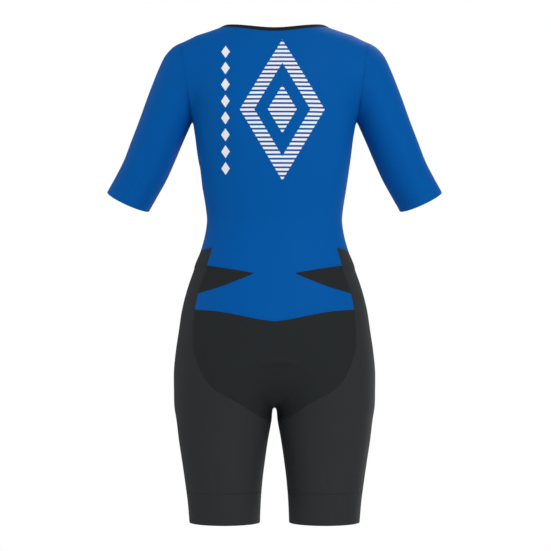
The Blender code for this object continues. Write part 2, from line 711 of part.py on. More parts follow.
def thicken(mesh, thickness, proud):
    """Make a wall of a sheet, from proud of the form inwards, along the form's normals."""
    places = np.array([vertex.co for vertex in mesh.verts])
    sides = np.where(places[:, :1] < 0, (-1.0, 1.0, 1.0), (1.0, 1.0, 1.0))
    normals = outward(places * sides) * sides
    normals[np.abs(places[:, 0]) < TINY, 0] = 0
    face_outwards(mesh)
    sheet = mesh.verts[:]
    extruded = bmesh.ops.extrude_face_region(mesh, geom=mesh.faces[:], use_keep_orig=True)
    copies = [item for item in extruded["geom"] if isinstance(item, bmesh.types.BMVert)]
    lookup = {tuple(vertex.co): normal for vertex, normal in zip(sheet, normals)}
    for vertex in copies:
        vertex.co -= Vector(lookup[tuple(vertex.co)]) * (thickness - proud)
    for vertex, normal in zip(sheet, normals):
        vertex.co += Vector(normal) * proud
    bmesh.ops.recalc_face_normals(mesh, faces=mesh.faces[:])


def cloth_mesh(grids, mirrored):
    """One open sheet from grids that share edges."""
    mesh = bmesh.new()
    for grid in grids:
        add_grid(mesh, grid)
    bmesh.ops.remove_doubles(mesh, verts=mesh.verts[:], dist=WELD)
    for vertex in mesh.verts:
        if mirrored and abs(vertex.co.x) < WELD:
            vertex.co.x = 0
    face_outwards(mesh)
    open_seams(mesh, SEAM_GAP, mirrored)
    bmesh.ops.triangulate(mesh, faces=mesh.faces[:], quad_method="SHORT_EDGE")
    return mesh


def centre_panel(name, grids, look, collection, thickness=CLOTH, proud=0.0):
    """A panel across the middle plane: its left half, mirrored and thickened."""
    mesh = cloth_mesh(grids, True)
    mirror_half(mesh)
    thicken(mesh, thickness, proud)
    return add_object(name, mesh, look, collection)


def panel_pair(name, grids, look, collection):
    """A panel of the wearer's left and its mirror image on the right."""
    for side, sign in (("left", 1), ("right", -1)):
        mesh = cloth_mesh(grids, False)
        thicken(mesh, CLOTH, 0.0)
        if sign < 0:
            bmesh.ops.scale(mesh, vec=(-1, 1, 1), verts=mesh.verts[:])
            bmesh.ops.reverse_faces(mesh, faces=mesh.faces[:])
        add_object(f"{name}_{side}", mesh, look, collection)


def back_panel_grids(edges):
    """Upper back, the stretch beside the side panels' corners, and the band under the wedges."""
    upper = fill(
        joined(edges.corner_row, edges.top_back), edges.neck_back,
        edges.centre_back, joined(edges.side_seam, edges.armhole_back, edges.shoulder))
    notch_row = joined(edges.wedge_neck, edges.wedge_upper)
    notch_height = notch_row.points[0][2]
    middle = middle_back(notch_height, edges.corner_row.points[0][2], CORNER_ROWS)
    corner = fill(notch_row, edges.corner_row, middle, edges.rear_corner.reverse())
    band_row = joined(edges.wedge_neck, edges.wedge_lower)
    band_middle = middle_back(edges.band_foot.points[0][2], notch_height, BAND_ROWS)
    band = fill(edges.band_foot, band_row, band_middle, edges.rear_band.reverse())
    return [upper, corner, band]


def wedge_grids(edges):
    """The wedge over the hip, which narrows to a point towards the middle."""
    tip = edge_at(np.repeat(edges.wedge_upper.points[:1], WEDGE_ROWS + 1, axis=0))
    return [fill(edges.wedge_lower, edges.wedge_upper, tip, edges.rear_wedge.reverse())]


def front_panel_grids(edges):
    """One half of the front, from the waist seam to the neck, beside the zip."""
    waist = joined(edges.front_waist, edges.top_front.reverse())
    waist.points[0] = edges.zip_edge.points[0]
    waist.coordinates[0] = edges.zip_edge.coordinates[0]
    outer = joined(edges.side_seam, edges.armhole_front, edges.shoulder)
    return [fill(waist, edges.neck_front, edges.zip_edge, outer)]


def seat_grid(edges):
    """The seat between the band and the crotch."""
    outer = joined(edges.rear_seat, edges.rear_thigh)
    return fill(edges.band_foot, edges.gusset, edges.seat_middle, outer)


def front_lower_grid(edges):
    """The front between the waist seam and the crotch."""
    outer = joined(edges.front_seam, edges.front_thigh)
    return fill(edges.front_waist, as_front(edges.gusset), edges.front_middle, outer)


def leg_panel_grids(edges):
    """The thigh, which goes right round the leg, and the hip above it."""
    thigh_top = joined(edges.rear_thigh.reverse(), edges.thigh_row, edges.front_thigh)
    thigh = fill(edges.leg_band_seam, thigh_top, edges.inseam, as_front(edges.inseam))
    rear = joined(edges.rear_corner, edges.rear_wedge, edges.rear_band, edges.rear_seat)
    top = joined(edges.top_back, edges.top_front)
    hip = fill(edges.thigh_row, top, rear.reverse(), edges.front_seam.reverse())
    return [thigh, hip]


def leg_band_grids(edges):
    """The gripper band under the leg panel, down to the hem."""
    turns = edges.leg_band_seam.coordinates[:, 0]
    levels = [level_of(height) for height in np.linspace(LEG_BAND_SEAM, HEM, LEG_BAND_ROWS + 1)]
    rows = [place(np.stack([turns, np.full_like(turns, level)], axis=-1)) for level in levels]
    rows[0] = edges.leg_band_seam.points
    return [np.array(rows)]


def sleeve_grids(edges):
    """The sleeve from the armhole to the cuff, seamed under the arm."""
    shares = np.linspace(0, 1, SLEEVE_RINGS + 1)
    return [np.array([arm_ring(share, edges.sleeve_angles) for share in shares])]


def binding_grids(edges):
    """The binding that stands on the neck line."""
    lower = joined(edges.neck_back, edges.neck_front.reverse())
    turns = np.arctan2(lower.points[:, 1], lower.points[:, 0])
    upper = neck_line(turns, BINDING_SIDE_TOP, BINDING_BACK_TOP, BINDING_FRONT_TOP)
    return [np.array([lower.points, upper])]


def pad_grids(edges):
    """The part of the seat and front panels over the pad, moved in under the cloth."""
    seat = seat_grid(edges)[PAD_FIRST_ROW:, :PAD_COLUMNS + 1]
    front = front_lower_grid(edges)[PAD_FRONT_FIRST_ROW:, :PAD_COLUMNS + 1]
    return [grid - (CLOTH + PAD_CLEARANCE) * outward(grid) for grid in (seat, front)]


def tape_grids(edges):
    """The zip's tape behind the front panels' edges."""
    heights = edges.zip_edge.points[:, 2].copy()
    heights[0] += TAPE_END
    heights[-1] -= TAPE_END
    across = (0.0, ZIP_HALF_OPENING, TAPE_HALF_WIDTH)
    grid = np.array([seen_in_front([(x, height) for x in across]) for height in heights])
    return [grid - (CLOTH + TAPE_CLEARANCE) * outward(grid)]


def box_mesh(size, centre):
    """A block of the given size about a centre."""
    mesh = bmesh.new()
    bmesh.ops.create_cube(mesh, size=1)
    bmesh.ops.scale(mesh, vec=size, verts=mesh.verts[:])
    bmesh.ops.translate(mesh, vec=centre, verts=mesh.verts[:])
    return mesh


def round_edges(made, width):
    """Round off the edges of a metal piece."""
    rounding = made.modifiers.new("Rounded edges", "BEVEL")
    rounding.width = width
    rounding.segments = ROUNDING_SEGMENTS


def combine(made, other, operation):
    """Boolean with a helper object, which is hidden as a cutter."""
    step = made.modifiers.new(operation.title(), "BOOLEAN")
    step.operation = operation
    step.solver = "EXACT"
    step.object = other
    other.hide_render = True
    other.display_type = "WIRE"


def add_zip_metal(collection, cutters, metal):
    """The slider with its arch, and the tab that hangs from the arch."""
    height = NECK_FRONT - SLIDER_DROP
    seat = seen_in_front([(0.0, height)])[0]
    normal = outward(seat)
    lean = -atan2(normal[2], -normal[1])
    frame = Matrix.Translation(Vector(seat)) @ Matrix.Rotation(lean, 4, "X")
    width, length, depth = SLIDER_SIZE
    face = depth - SLIDER_SEAT
    block = box_mesh((width, depth, length), (0, SLIDER_SEAT - depth / 2, 0))
    slider = add_object("zip_slider", block, metal, collection)
    slider.matrix_world = frame
    round_edges(slider, EDGE_ROUNDING)

    arch_width, arch_length, arch_height = ARCH_SIZE
    overlap = depth / 2
    arch_mesh = box_mesh((arch_width, arch_height + overlap, arch_length),
                         (0, -face - (arch_height - overlap) / 2, 0))
    arch = add_object("arch_shape", arch_mesh, metal, cutters)
    arch.matrix_world = frame
    combine(slider, arch, "UNION")
    slot_across, slot_length, slot_height = ARCH_SLOT
    slot_mesh = box_mesh((slot_across, slot_height, slot_length), (0, -face - slot_height / 2, 0))
    slot = add_object("arch_slot", slot_mesh, metal, cutters)
    slot.matrix_world = frame
    combine(slider, slot, "DIFFERENCE")

    hinge = frame @ Matrix.Translation((0, -face - HINGE_HEIGHT, 0))
    bar = TAB_THICKNESS / 2
    plate = box_mesh((TAB_WIDTH, TAB_THICKNESS, TAB_LENGTH), (0, 0, bar - TAB_LENGTH / 2))
    tab = add_object("zip_pull_tab", plate, metal, collection)
    tab.matrix_world = hinge
    window_width, window_length = TAB_WINDOW
    window_mesh = box_mesh((window_width, CUTTER_DEPTH, window_length),
                           (0, 0, -bar - window_length / 2))
    window = add_object("tab_window", window_mesh, metal, cutters)
    window.matrix_world = hinge
    combine(tab, window, "DIFFERENCE")


def clear_scene():
    """Remove whatever the scene starts with."""
    for item in list(bpy.data.objects):
        bpy.data.objects.remove(item, do_unlink=True)


def build():
    """Build every piece of the suit."""
    clear_scene()
    suit = bpy.data.collections.new("speedsuit")
    cutters = bpy.data.collections.new("cutters")
    for collection in (suit, cutters):
        bpy.context.scene.collection.children.link(collection)
    looks = {name: material(name) for name in FINISHES}

    edges = make_layout()
    blue, black = looks["blue_knit"], looks["seat_knit"]
    centre_panel("back_panel", back_panel_grids(edges), blue, suit)
    centre_panel("seat_panel", [seat_grid(edges)], black, suit)
    centre_panel("front_lower_panel", [front_lower_grid(edges)], black, suit)
    centre_panel("chamois_pad", pad_grids(edges), looks["pad_fleece"], suit, PAD_CLOTH)
    centre_panel("zip_tape", tape_grids(edges), looks["zip_tape_weave"], suit, TAPE_CLOTH)
    centre_panel("neck_binding", binding_grids(edges), looks["neck_binding_knit"], suit,
                 BINDING_CLOTH, BINDING_PROUD)
    panel_pair("front_panel", front_panel_grids(edges), blue, suit)
    panel_pair("back_wedge", wedge_grids(edges), black, suit)
    panel_pair("leg_panel", leg_panel_grids(edges), looks["leg_knit"], suit)
    panel_pair("leg_band", leg_band_grids(edges), looks["leg_band_knit"], suit)
    panel_pair("sleeve", sleeve_grids(edges), blue, suit)
    add_zip_metal(suit, cutters, looks["zip_metal"])


build()
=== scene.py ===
"""Looks of the one-piece triathlon speedsuit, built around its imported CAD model.

Metres, +Z up. +X is the wearer's left and +Y the wearer's back. Each cloth panel is a thin fine
shell on the same smooth form as its CAD solid, with its creases, seams and stitches laid on it.
"""
from __future__ import annotations

import json
import logging
from dataclasses import dataclass, field
from enum import Enum
from functools import cache, partial
from math import atan2, cos, degrees, pi, radians, sin
from typing import Callable, Sequence

import bmesh
import bpy
import numpy as np
from mathutils import Matrix, Vector

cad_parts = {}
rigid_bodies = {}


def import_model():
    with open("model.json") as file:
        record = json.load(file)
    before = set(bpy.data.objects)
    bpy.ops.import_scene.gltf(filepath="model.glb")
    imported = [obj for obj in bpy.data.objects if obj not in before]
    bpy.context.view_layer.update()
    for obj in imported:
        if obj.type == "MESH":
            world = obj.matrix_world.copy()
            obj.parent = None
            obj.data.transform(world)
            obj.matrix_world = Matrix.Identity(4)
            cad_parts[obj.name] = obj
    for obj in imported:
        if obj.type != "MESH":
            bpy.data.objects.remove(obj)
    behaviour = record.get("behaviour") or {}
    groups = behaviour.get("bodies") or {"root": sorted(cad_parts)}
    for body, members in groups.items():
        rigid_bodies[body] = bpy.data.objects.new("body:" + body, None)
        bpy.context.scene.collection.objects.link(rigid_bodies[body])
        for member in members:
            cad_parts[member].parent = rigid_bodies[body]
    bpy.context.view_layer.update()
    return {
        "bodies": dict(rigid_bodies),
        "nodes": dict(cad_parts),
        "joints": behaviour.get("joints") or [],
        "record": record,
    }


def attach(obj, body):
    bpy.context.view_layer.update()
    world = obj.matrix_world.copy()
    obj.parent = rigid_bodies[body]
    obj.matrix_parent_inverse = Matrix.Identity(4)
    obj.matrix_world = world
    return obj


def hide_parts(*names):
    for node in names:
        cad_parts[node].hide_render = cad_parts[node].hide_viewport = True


logging.basicConfig(level=logging.INFO, format="%(message)s")
LOG = logging.getLogger("speedsuit")

# Levels of the suit, measured down from the neck side points
NECK_SIDE = -0.0035
NECK_BACK = -0.0157
NECK_FRONT = -0.0520
BINDING_SIDE_TOP = -0.0008
BINDING_BACK_TOP = -0.0102
BINDING_FRONT_TOP = -0.0466
RAY_CENTRE = -0.195
RISE_SCALE = 0.12
SEAT_RAY_CENTRE = -0.600
LEG_BAND_SEAM = -0.852
HEM = -0.9095
GUSSET = -0.725

# Half sections of the body, as in the CAD: a tube about an upright axis off the middle line
BODY_COLUMNS = ("height", "centre", "side", "back", "front", "power", "blend")
BODY_ROWS = (
    (0.030, 0.0, 0.0660, 0.0478, 0.0389, 2.00, 0.0),
    (0.010, 0.0, 0.0740, 0.0528, 0.0425, 2.00, 0.0),
    (0.001, 0.0, 0.0850, 0.0559, 0.0447, 2.00, 0.0),
    (-0.0055, 0.0, 0.1000, 0.0586, 0.0466, 2.00, 0.0),
    (-0.013, 0.0, 0.1210, 0.0622, 0.0492, 2.02, 0.0),
    (-0.020, 0.0, 0.1420, 0.0658, 0.0519, 2.05, 0.0),
    (-0.0275, 0.0, 0.1570, 0.0699, 0.0550, 2.08, 0.0),
    (-0.040, 0.0, 0.1700, 0.0768, 0.0608, 2.12, 0.0),
    (-0.060, 0.0, 0.1710, 0.0870, 0.0710, 2.20, 0.0),
    (-0.090, 0.0, 0.1670, 0.0980, 0.0860, 2.30, 0.0),
    (-0.130, 0.0, 0.1580, 0.1060, 0.1010, 2.35, 0.0),
    (-0.1775, 0.0, 0.1490, 0.1070, 0.1120, 2.38, 0.0),
    (-0.210, 0.0, 0.1437, 0.1030, 0.1140, 2.38, 0.0),
    (-0.247, 0.0, 0.1390, 0.0960, 0.1100, 2.35, 0.0),
    (-0.302, 0.0, 0.1310, 0.0840, 0.0990, 2.28, 0.0),
    (-0.339, 0.0, 0.1252, 0.0775, 0.0940, 2.22, 0.0),
    (-0.357, 0.0, 0.1235, 0.0755, 0.0920, 2.20, 0.0),
    (-0.375, 0.0, 0.1254, 0.0765, 0.0920, 2.20, 0.0),
    (-0.412, 0.0, 0.1345, 0.0840, 0.0940, 2.20, 0.0),
    (-0.448, 0.0, 0.1473, 0.0955, 0.0980, 2.20, 0.0),
    (-0.485, 0.010, 0.1500, 0.1080, 0.1005, 2.19, 0.006),
    (-0.522, 0.022, 0.1473, 0.1180, 0.1020, 2.17, 0.020),
    (-0.558, 0.036, 0.1388, 0.1240, 0.1015, 2.14, 0.035),
    (-0.595, 0.052, 0.1283, 0.1265, 0.0995, 2.10, 0.050),
    (-0.631, 0.068, 0.1159, 0.1240, 0.0970, 2.07, 0.060),
    (-0.668, 0.0825, 0.1015, 0.1150, 0.0950, 2.04, 0.055),
    (-0.700, 0.0927, 0.0903, 0.1035, 0.0925, 2.00, 0.010),
    (-0.723, 0.0924, 0.0869, 0.0965, 0.0905, 2.00, 0.004),
    (-0.759, 0.0935, 0.0815, 0.0890, 0.0870, 2.00, 0.003),
    (-0.796, 0.0934, 0.0760, 0.0845, 0.0830, 2.00, 0.003),
    (-0.833, 0.0930, 0.0710, 0.0800, 0.0790, 2.00, 0.003),
    (-0.869, 0.0920, 0.0672, 0.0765, 0.0755, 2.00, 0.003),
    (-0.915, 0.0910, 0.0642, 0.0718, 0.0712, 2.00, 0.003),
)

# Sections of the left arm along its axis, from the cuff up into the shoulder, as in the CAD
CUFF_CENTRE = np.array((0.2698, -0.0375, -0.3225))
ARM_LEAN = radians(25)
ARM_FORWARD = radians(9)
ARM_UP = np.array((
    -sin(ARM_LEAN) * cos(ARM_FORWARD), sin(ARM_FORWARD), cos(ARM_LEAN) * cos(ARM_FORWARD)))
ARM_OUT = np.array((cos(ARM_LEAN), 0.0, sin(ARM_LEAN)))
ARM_BACK = np.cross(ARM_UP, ARM_OUT)
ARM_END = 0.325
ARM_POWER = 2.0
ARM_COLUMNS = ("height", "outer", "inner", "back", "front")
ARM_ROWS = (
    (-0.030, 0.0430, 0.0415, 0.0440, 0.0440),
    (0.000, 0.0425, 0.0425, 0.0440, 0.0440),
    (0.030, 0.0402, 0.0450, 0.0446, 0.0446),
    (0.065, 0.0385, 0.0478, 0.0455, 0.0455),
    (0.105, 0.0408, 0.0476, 0.0465, 0.0465),
    (0.144, 0.0430, 0.0466, 0.0480, 0.0480),
    (0.183, 0.0462, 0.0462, 0.0510, 0.0500),
    (0.221, 0.0485, 0.0460, 0.0530, 0.0510),
    (0.250, 0.0495, 0.0450, 0.0520, 0.0500),
    (0.280, 0.0470, 0.0400, 0.0460, 0.0440),
    (0.301, 0.0360, 0.0300, 0.0360, 0.0340),
    (0.315, 0.0190, 0.0180, 0.0220, 0.0220),
    (0.325, 0.0060, 0.0060, 0.0060, 0.0060),
)
ARM_BLEND_COLUMNS = ("height", "blend")
ARM_BLEND_ROWS = (
    (-0.200, 0.005), (-0.175, 0.006), (-0.150, 0.016), (-0.120, 0.035),
    (-0.080, 0.045), (-0.050, 0.028), (-0.025, 0.012),
)
ARMHOLE_CENTRE = np.array((0.1609, 0.0, -0.104))
ARMHOLE_LEAN = radians(7.7)
ARMHOLE_SEAM_TURN = radians(5)
SLEEVE_TURN_SHARE = 0.55

# Seams as seen from behind or in front, as in the CAD: half width and height of each point
REAR_SEAM = (
    (0.1135, -0.4077), (0.1222, -0.4402), (0.1380, -0.4906), (0.1437, -0.5200),
    (0.1459, -0.5484), (0.1455, -0.5923), (0.1395, -0.6100), (0.1252, -0.6420),
    (0.1026, -0.6650), (0.0733, -0.6810), (0.0528, -0.6937), (0.0314, -0.7095),
)
REAR_WEDGE_TOP, REAR_WEDGE_FOOT, REAR_BAND_FOOT, REAR_THIGH = 1, 2, 3, 7
WEDGE_UPPER_EDGE = ((0.0373, -0.4541), (0.0786, -0.4467), (0.1222, -0.4402))
WEDGE_LOWER_EDGE = ((0.0373, -0.4541), (0.0668, -0.4668), (0.1012, -0.4797), (0.1380, -0.4906))
BAND_LOWER_EDGE = (
    (0.0, -0.5400), (0.0225, -0.5371), (0.0627, -0.5293), (0.1031, -0.5225), (0.1437, -0.5200),
)
FRONT_SEAM = (
    (0.1050, -0.4350), (0.1040, -0.4900), (0.1060, -0.5500), (0.1020, -0.6050),
    (0.0850, -0.6500), (0.0600, -0.6820), (0.0330, -0.7070),
)
FRONT_THIGH = 4
WAIST_SEAM = -0.4500
CORNER_DROP = 0.0040
SIDE_SEAM_TURN = radians(-4)
SIDE_PANEL_TOP = -0.4170

# Grid counts of the panels, as in the CAD; each cell is cut finer here
NECK_COLUMNS = 2
WEDGE_COLUMNS = 4
OUTER_COLUMNS = 2
FRONT_COLUMNS = 6
FRONT_SIDE_COLUMNS = 5
SIDE_ROWS = 7
ARMHOLE_ROWS = 8
SHOULDER_ROWS = 3
SEAT_UPPER_ROWS = 4
SEAT_LOWER_ROWS = 6
SEAT_ROWS = SEAT_UPPER_ROWS + SEAT_LOWER_ROWS
BAND_ROWS = 2
WEDGE_ROWS = 2
CORNER_ROWS = 1
INSEAM_ROWS = 5
LEG_COLUMNS = 2 * SEAT_LOWER_ROWS + OUTER_COLUMNS + FRONT_SIDE_COLUMNS
SLEEVE_RINGS = 8
LEG_BAND_ROWS = 2
PAD_COLUMNS = 3
PAD_FIRST_ROW = 3
PAD_FRONT_FIRST_ROW = 8
FINER = 6

# Cloth
SHELL = 0.0011
SEAM_GAP = 0.0001
SEAM_ROLL = 0.00016
SEAM_RIM = 0.0007
ZIP_HALF_OPENING = 0.0055
TAPE_HALF_WIDTH = 0.0120
TAPE_DEPTH = 0.0020
TAPE_END = 0.0020
TAPE_FOOT_LAP = 0.0040
TAPE_CLOTH = 0.0007
BINDING_WALL = 0.0020
BINDING_PROUD = 0.0003
BINDING_CROWN = 0.0006
PAD_DEPTH = 0.0019

# Solving
TINY = 1e-6
WELD = 0.00002
NORMAL_STEP = 1e-5
MARCH_STEPS = 40
MARCH_SHARE = 0.7
SHORTEST_STEP = 2e-5
LONGEST_STEP = 0.02
HALVINGS = 14
SAMPLES_PER_CELL = 3
MEAN_RADIUS = 0.12
CROTCH_MARGIN = 0.01
SETTLE_STEPS = 3
RELAX_ROUNDS = 30
FINE_RELAX_ROUNDS = 3
LEAST_SPREAD = 0.08
BACKWARDS = np.array((0.0, 1.0, 0.0))
FORWARDS = -BACKWARDS
DOWNWARDS = np.array((0.0, 0.0, -1.0))
MIRROR = np.array((-1.0, 1.0, 1.0))


class Sections:
    """A table of sections, read between its rows as smooth curves."""

    def __init__(self, columns: Sequence[str], rows: Sequence[Sequence[float]]) -> None:
        """Store the table.

        Args:
            columns: Names of the columns; the first is the place along the table.
            rows: One row of numbers for each section.
        """
        values = np.array(sorted(rows))
        self.columns = {name: index for index, name in enumerate(columns[1:])}
        self.knots = values[:, 0]
        self.values = values[:, 1:]
        self.slopes = np.gradient(self.values, self.knots, axis=0)

    def read(self, place: np.ndarray) -> np.ndarray:
        """Read every column.

        Args:
            place: Places along the table.

        Returns:
            Values with one more axis, for the columns.
        """
        index = np.clip(np.searchsorted(self.knots, place) - 1, 0, len(self.knots) - 2)
        span = self.knots[index + 1] - self.knots[index]
        t = np.clip((place - self.knots[index]) / span, 0, 1)[..., None]
        rise = 3 * t ** 2 - 2 * t ** 3
        start = t ** 3 - 2 * t ** 2 + t
        end = t ** 3 - t ** 2
        return (self.values[index] * (1 - rise) + self.values[index + 1] * rise
                + span[..., None] * (self.slopes[index] * start + self.slopes[index + 1] * end))

    def at(self, name: str, place: np.ndarray) -> np.ndarray:
        """Value of one column at places along the table."""
        return self.read(np.asarray(place, float))[..., self.columns[name]]


BODY = Sections(BODY_COLUMNS, BODY_ROWS)
ARM = Sections(ARM_COLUMNS, ARM_ROWS)
ARM_BLEND = Sections(ARM_BLEND_COLUMNS, ARM_BLEND_ROWS)


class Form:
    """The smooth outer form of the suit, as a distance from its surface."""

    @staticmethod
    def outside(across: np.ndarray, deep: np.ndarray, half_across: np.ndarray,
                half_deep: np.ndarray, power: np.ndarray | float) -> np.ndarray:
        """Distance from an oval section's edge, along the line to its centre.

        Args:
            across: Places across the section.
            deep: Places front to back.
            half_across: Half width of the section.
            half_deep: Half depth of it.
            power: 2 for an ellipse, more for a squarer oval.

        Returns:
            Distances, below zero inside.
        """
        reach = np.hypot(across, deep) + TINY
        shares = np.abs(across / half_across) ** power + np.abs(deep / half_deep) ** power
        norm = shares ** (1 / power)
        return reach - reach / (norm + TINY)

    @staticmethod
    def merge(first: np.ndarray, second: np.ndarray, width: np.ndarray) -> np.ndarray:
        """Union of two distances with a soft fillet.

        Args:
            first: One distance.
            second: The other.
            width: Width of the fillet.

        Returns:
            The joined distance.
        """
        width = np.maximum(width, TINY)
        overlap = np.maximum(width - np.abs(first - second), 0) / width
        return np.minimum(first, second) - overlap ** 2 * width / 4

    @staticmethod
    def value(points: np.ndarray) -> np.ndarray:
        """Distance of points from the outer surface.

        Args:
            points: Points on the wearer's left.

        Returns:
            A distance for each, below zero inside.
        """
        x, y, z = points[..., 0], points[..., 1], points[..., 2]
        centre, side, back, front, power, blend = np.moveaxis(BODY.read(z), -1, 0)
        depth = np.where(y > 0, back, front)
        near = Form.outside(x - centre, y, side, depth, power)
        far = Form.outside(x + centre, y, side, depth, power)
        body = Form.merge(near, far, blend)
        offset = points - CUFF_CENTRE
        along = offset @ ARM_UP
        out = offset @ ARM_OUT
        rear = offset @ ARM_BACK
        outer, inner, back, front = np.moveaxis(ARM.read(along), -1, 0)
        width = np.where(out > 0, outer, inner)
        depth = np.where(rear > 0, back, front)
        arm = np.maximum(Form.outside(out, rear, width, depth, ARM_POWER), along - ARM_END)
        return Form.merge(body, arm, ARM_BLEND.at("blend", z))

    @staticmethod
    def slope(points: np.ndarray) -> np.ndarray:
        """Gradient of the form.

        Args:
            points: Points on the wearer's left.

        Returns:
            A vector for each point.
        """
        steps = NORMAL_STEP * np.eye(3)
        rises = [Form.value(points + step) - Form.value(points - step) for step in steps]
        return np.stack(rises, axis=-1) / (2 * NORMAL_STEP)

    @staticmethod
    def outward(points: np.ndarray) -> np.ndarray:
        """Unit normals of the form.

        Args:
            points: Points on either side of the suit.

        Returns:
            A unit vector for each point.
        """
        sides = np.where(points[..., :1] < 0, MIRROR, 1.0)
        slopes = Form.slope(points * sides) * sides
        slopes[np.abs(points[..., 0]) < TINY, 0] = 0
        return slopes / np.linalg.norm(slopes, axis=-1, keepdims=True)

    @staticmethod
    def settle(points: np.ndarray, steps: int = SETTLE_STEPS) -> np.ndarray:
        """Move points that are near the form onto it, along its slope.

        Args:
            points: Points on either side of the suit.
            steps: Number of moves.

        Returns:
            The moved points.
        """
        sides = np.where(points[..., :1] < 0, MIRROR, 1.0)
        points = points * sides
        for _ in range(steps):
            slopes = Form.slope(points)
            share = Form.value(points) / (slopes ** 2).sum(axis=-1)
            points = points - slopes * share[..., None]
        return points * sides

    @staticmethod
    def cast(origins: np.ndarray, directions: np.ndarray) -> np.ndarray:
        """First point where rays from inside the form leave it.

        Args:
            origins: Points inside the form, on the wearer's left.
            directions: A unit vector for each ray.

        Returns:
            A point on the form for each ray.
        """
        origins, directions = np.broadcast_arrays(origins, directions)
        low = np.zeros(origins.shape[:-1])
        high = np.full(origins.shape[:-1], np.nan)
        value = Form.value(np.array(origins))
        for _ in range(MARCH_STEPS):
            step = low + np.clip(-MARCH_SHARE * value, SHORTEST_STEP, LONGEST_STEP)
            ahead = Form.value(origins + directions * step[..., None])
            open_ray = np.isnan(high)
            leaves = open_ray & (ahead > 0)
            high = np.where(leaves, step, high)
            low = np.where(open_ray & ~leaves, step, low)
            value = ahead
            if not np.isnan(high).any():
                break
        high = np.where(np.isnan(high), low + SHORTEST_STEP, high)
        for _ in range(HALVINGS):
            middle = (low + high) / 2
            inside = Form.value(origins + directions * middle[..., None]) < 0
            low = np.where(inside, middle, low)
            high = np.where(inside, high, middle)
        return origins + directions * ((low + high) / 2)[..., None]

    @staticmethod
    def place(coordinates: np.ndarray) -> np.ndarray:
        """Points on the form at body coordinates.

        Args:
            coordinates: Turn and level of each point.

        Returns:
            A point for each pair.
        """
        turn, level = coordinates[..., 0], coordinates[..., 1]
        height = RAY_CENTRE + np.minimum(level, 0)
        origins = np.stack([BODY.at("centre", height), np.zeros_like(height), height], axis=-1)
        rise = np.maximum(level, 0) / RISE_SCALE
        flat = np.cos(rise)
        directions = np.stack([flat * np.cos(turn), flat * np.sin(turn), np.sin(rise)], axis=-1)
        return Form.cast(origins, directions)

    @staticmethod
    def coordinates(points: np.ndarray, front: bool = False) -> np.ndarray:
        """Body coordinates of points on the form.

        Args:
            points: Points on the wearer's left.
            front: Whether the crotch line has a turn of minus pi.

        Returns:
            Turn and level of each point.
        """
        x, y, z = points[..., 0], points[..., 1], points[..., 2]
        below = z <= RAY_CENTRE
        centre = np.where(below, BODY.at("centre", z), 0)
        turn = np.arctan2(y, x - centre)
        if front:
            turn = np.where(turn > pi - CROTCH_MARGIN, turn - 2 * pi, turn)
        rise = RISE_SCALE * np.arctan2(z - RAY_CENTRE, np.hypot(x, y))
        return np.stack([turn, np.where(below, z - RAY_CENTRE, rise)], axis=-1)

    @staticmethod
    def seen_along(direction: np.ndarray, rows: Sequence[Sequence[float]]) -> np.ndarray:
        """Points on the form, by level rays in one direction.

        Args:
            direction: The rays' direction.
            rows: Half width and height of each ray.

        Returns:
            A point for each row.
        """
        table = np.array(rows, float)
        origins = np.stack([table[:, 0], np.zeros(len(table)), table[:, 1]], axis=-1)
        return Form.cast(origins, direction)


@dataclass
class Edge:
    """Points along one edge of a panel, with their body coordinates."""

    points: np.ndarray
    coordinates: np.ndarray

    @classmethod
    def at(cls, points: np.ndarray) -> Edge:
        """An edge through points of the form."""
        points = np.array(points)
        return cls(points, Form.coordinates(points))

    def reverse(self) -> Edge:
        """The same edge from its other end."""
        return Edge(self.points[::-1], self.coordinates[::-1])

    def coarse(self) -> Edge:
        """Every point that the CAD has too."""
        return Edge(self.points[::FINER], self.coordinates[::FINER])

    def in_front(self) -> Edge:
        """The same edge with its coordinates on the front side of the crotch line."""
        return Edge(self.points, Form.coordinates(self.points, True))

    def then(self, *others: Edge) -> Edge:
        """One edge from edges that follow each other and share their ends.

        Args:
            others: The edges that follow.

        Returns:
            The joined edge.
        """
        points = [self.points] + [edge.points[1:] for edge in others]
        coordinates = [self.coordinates] + [edge.coordinates[1:] for edge in others]
        return Edge(np.concatenate(points), np.concatenate(coordinates))


def evenly(points: np.ndarray, values: np.ndarray, count: int) -> np.ndarray:
    """Spread values evenly over the length of a dense line.

    Args:
        points: The dense line.
        values: A row of numbers for each of its points.
        count: The number of equal lengths.

    Returns:
        count + 1 rows of values.
    """
    steps = np.linalg.norm(np.diff(points, axis=0), axis=1)
    length = np.concatenate([[0], np.cumsum(steps)])
    wanted = np.linspace(0, length[-1], count + 1)
    return np.stack([np.interp(wanted, length, column) for column in values.T], axis=-1)


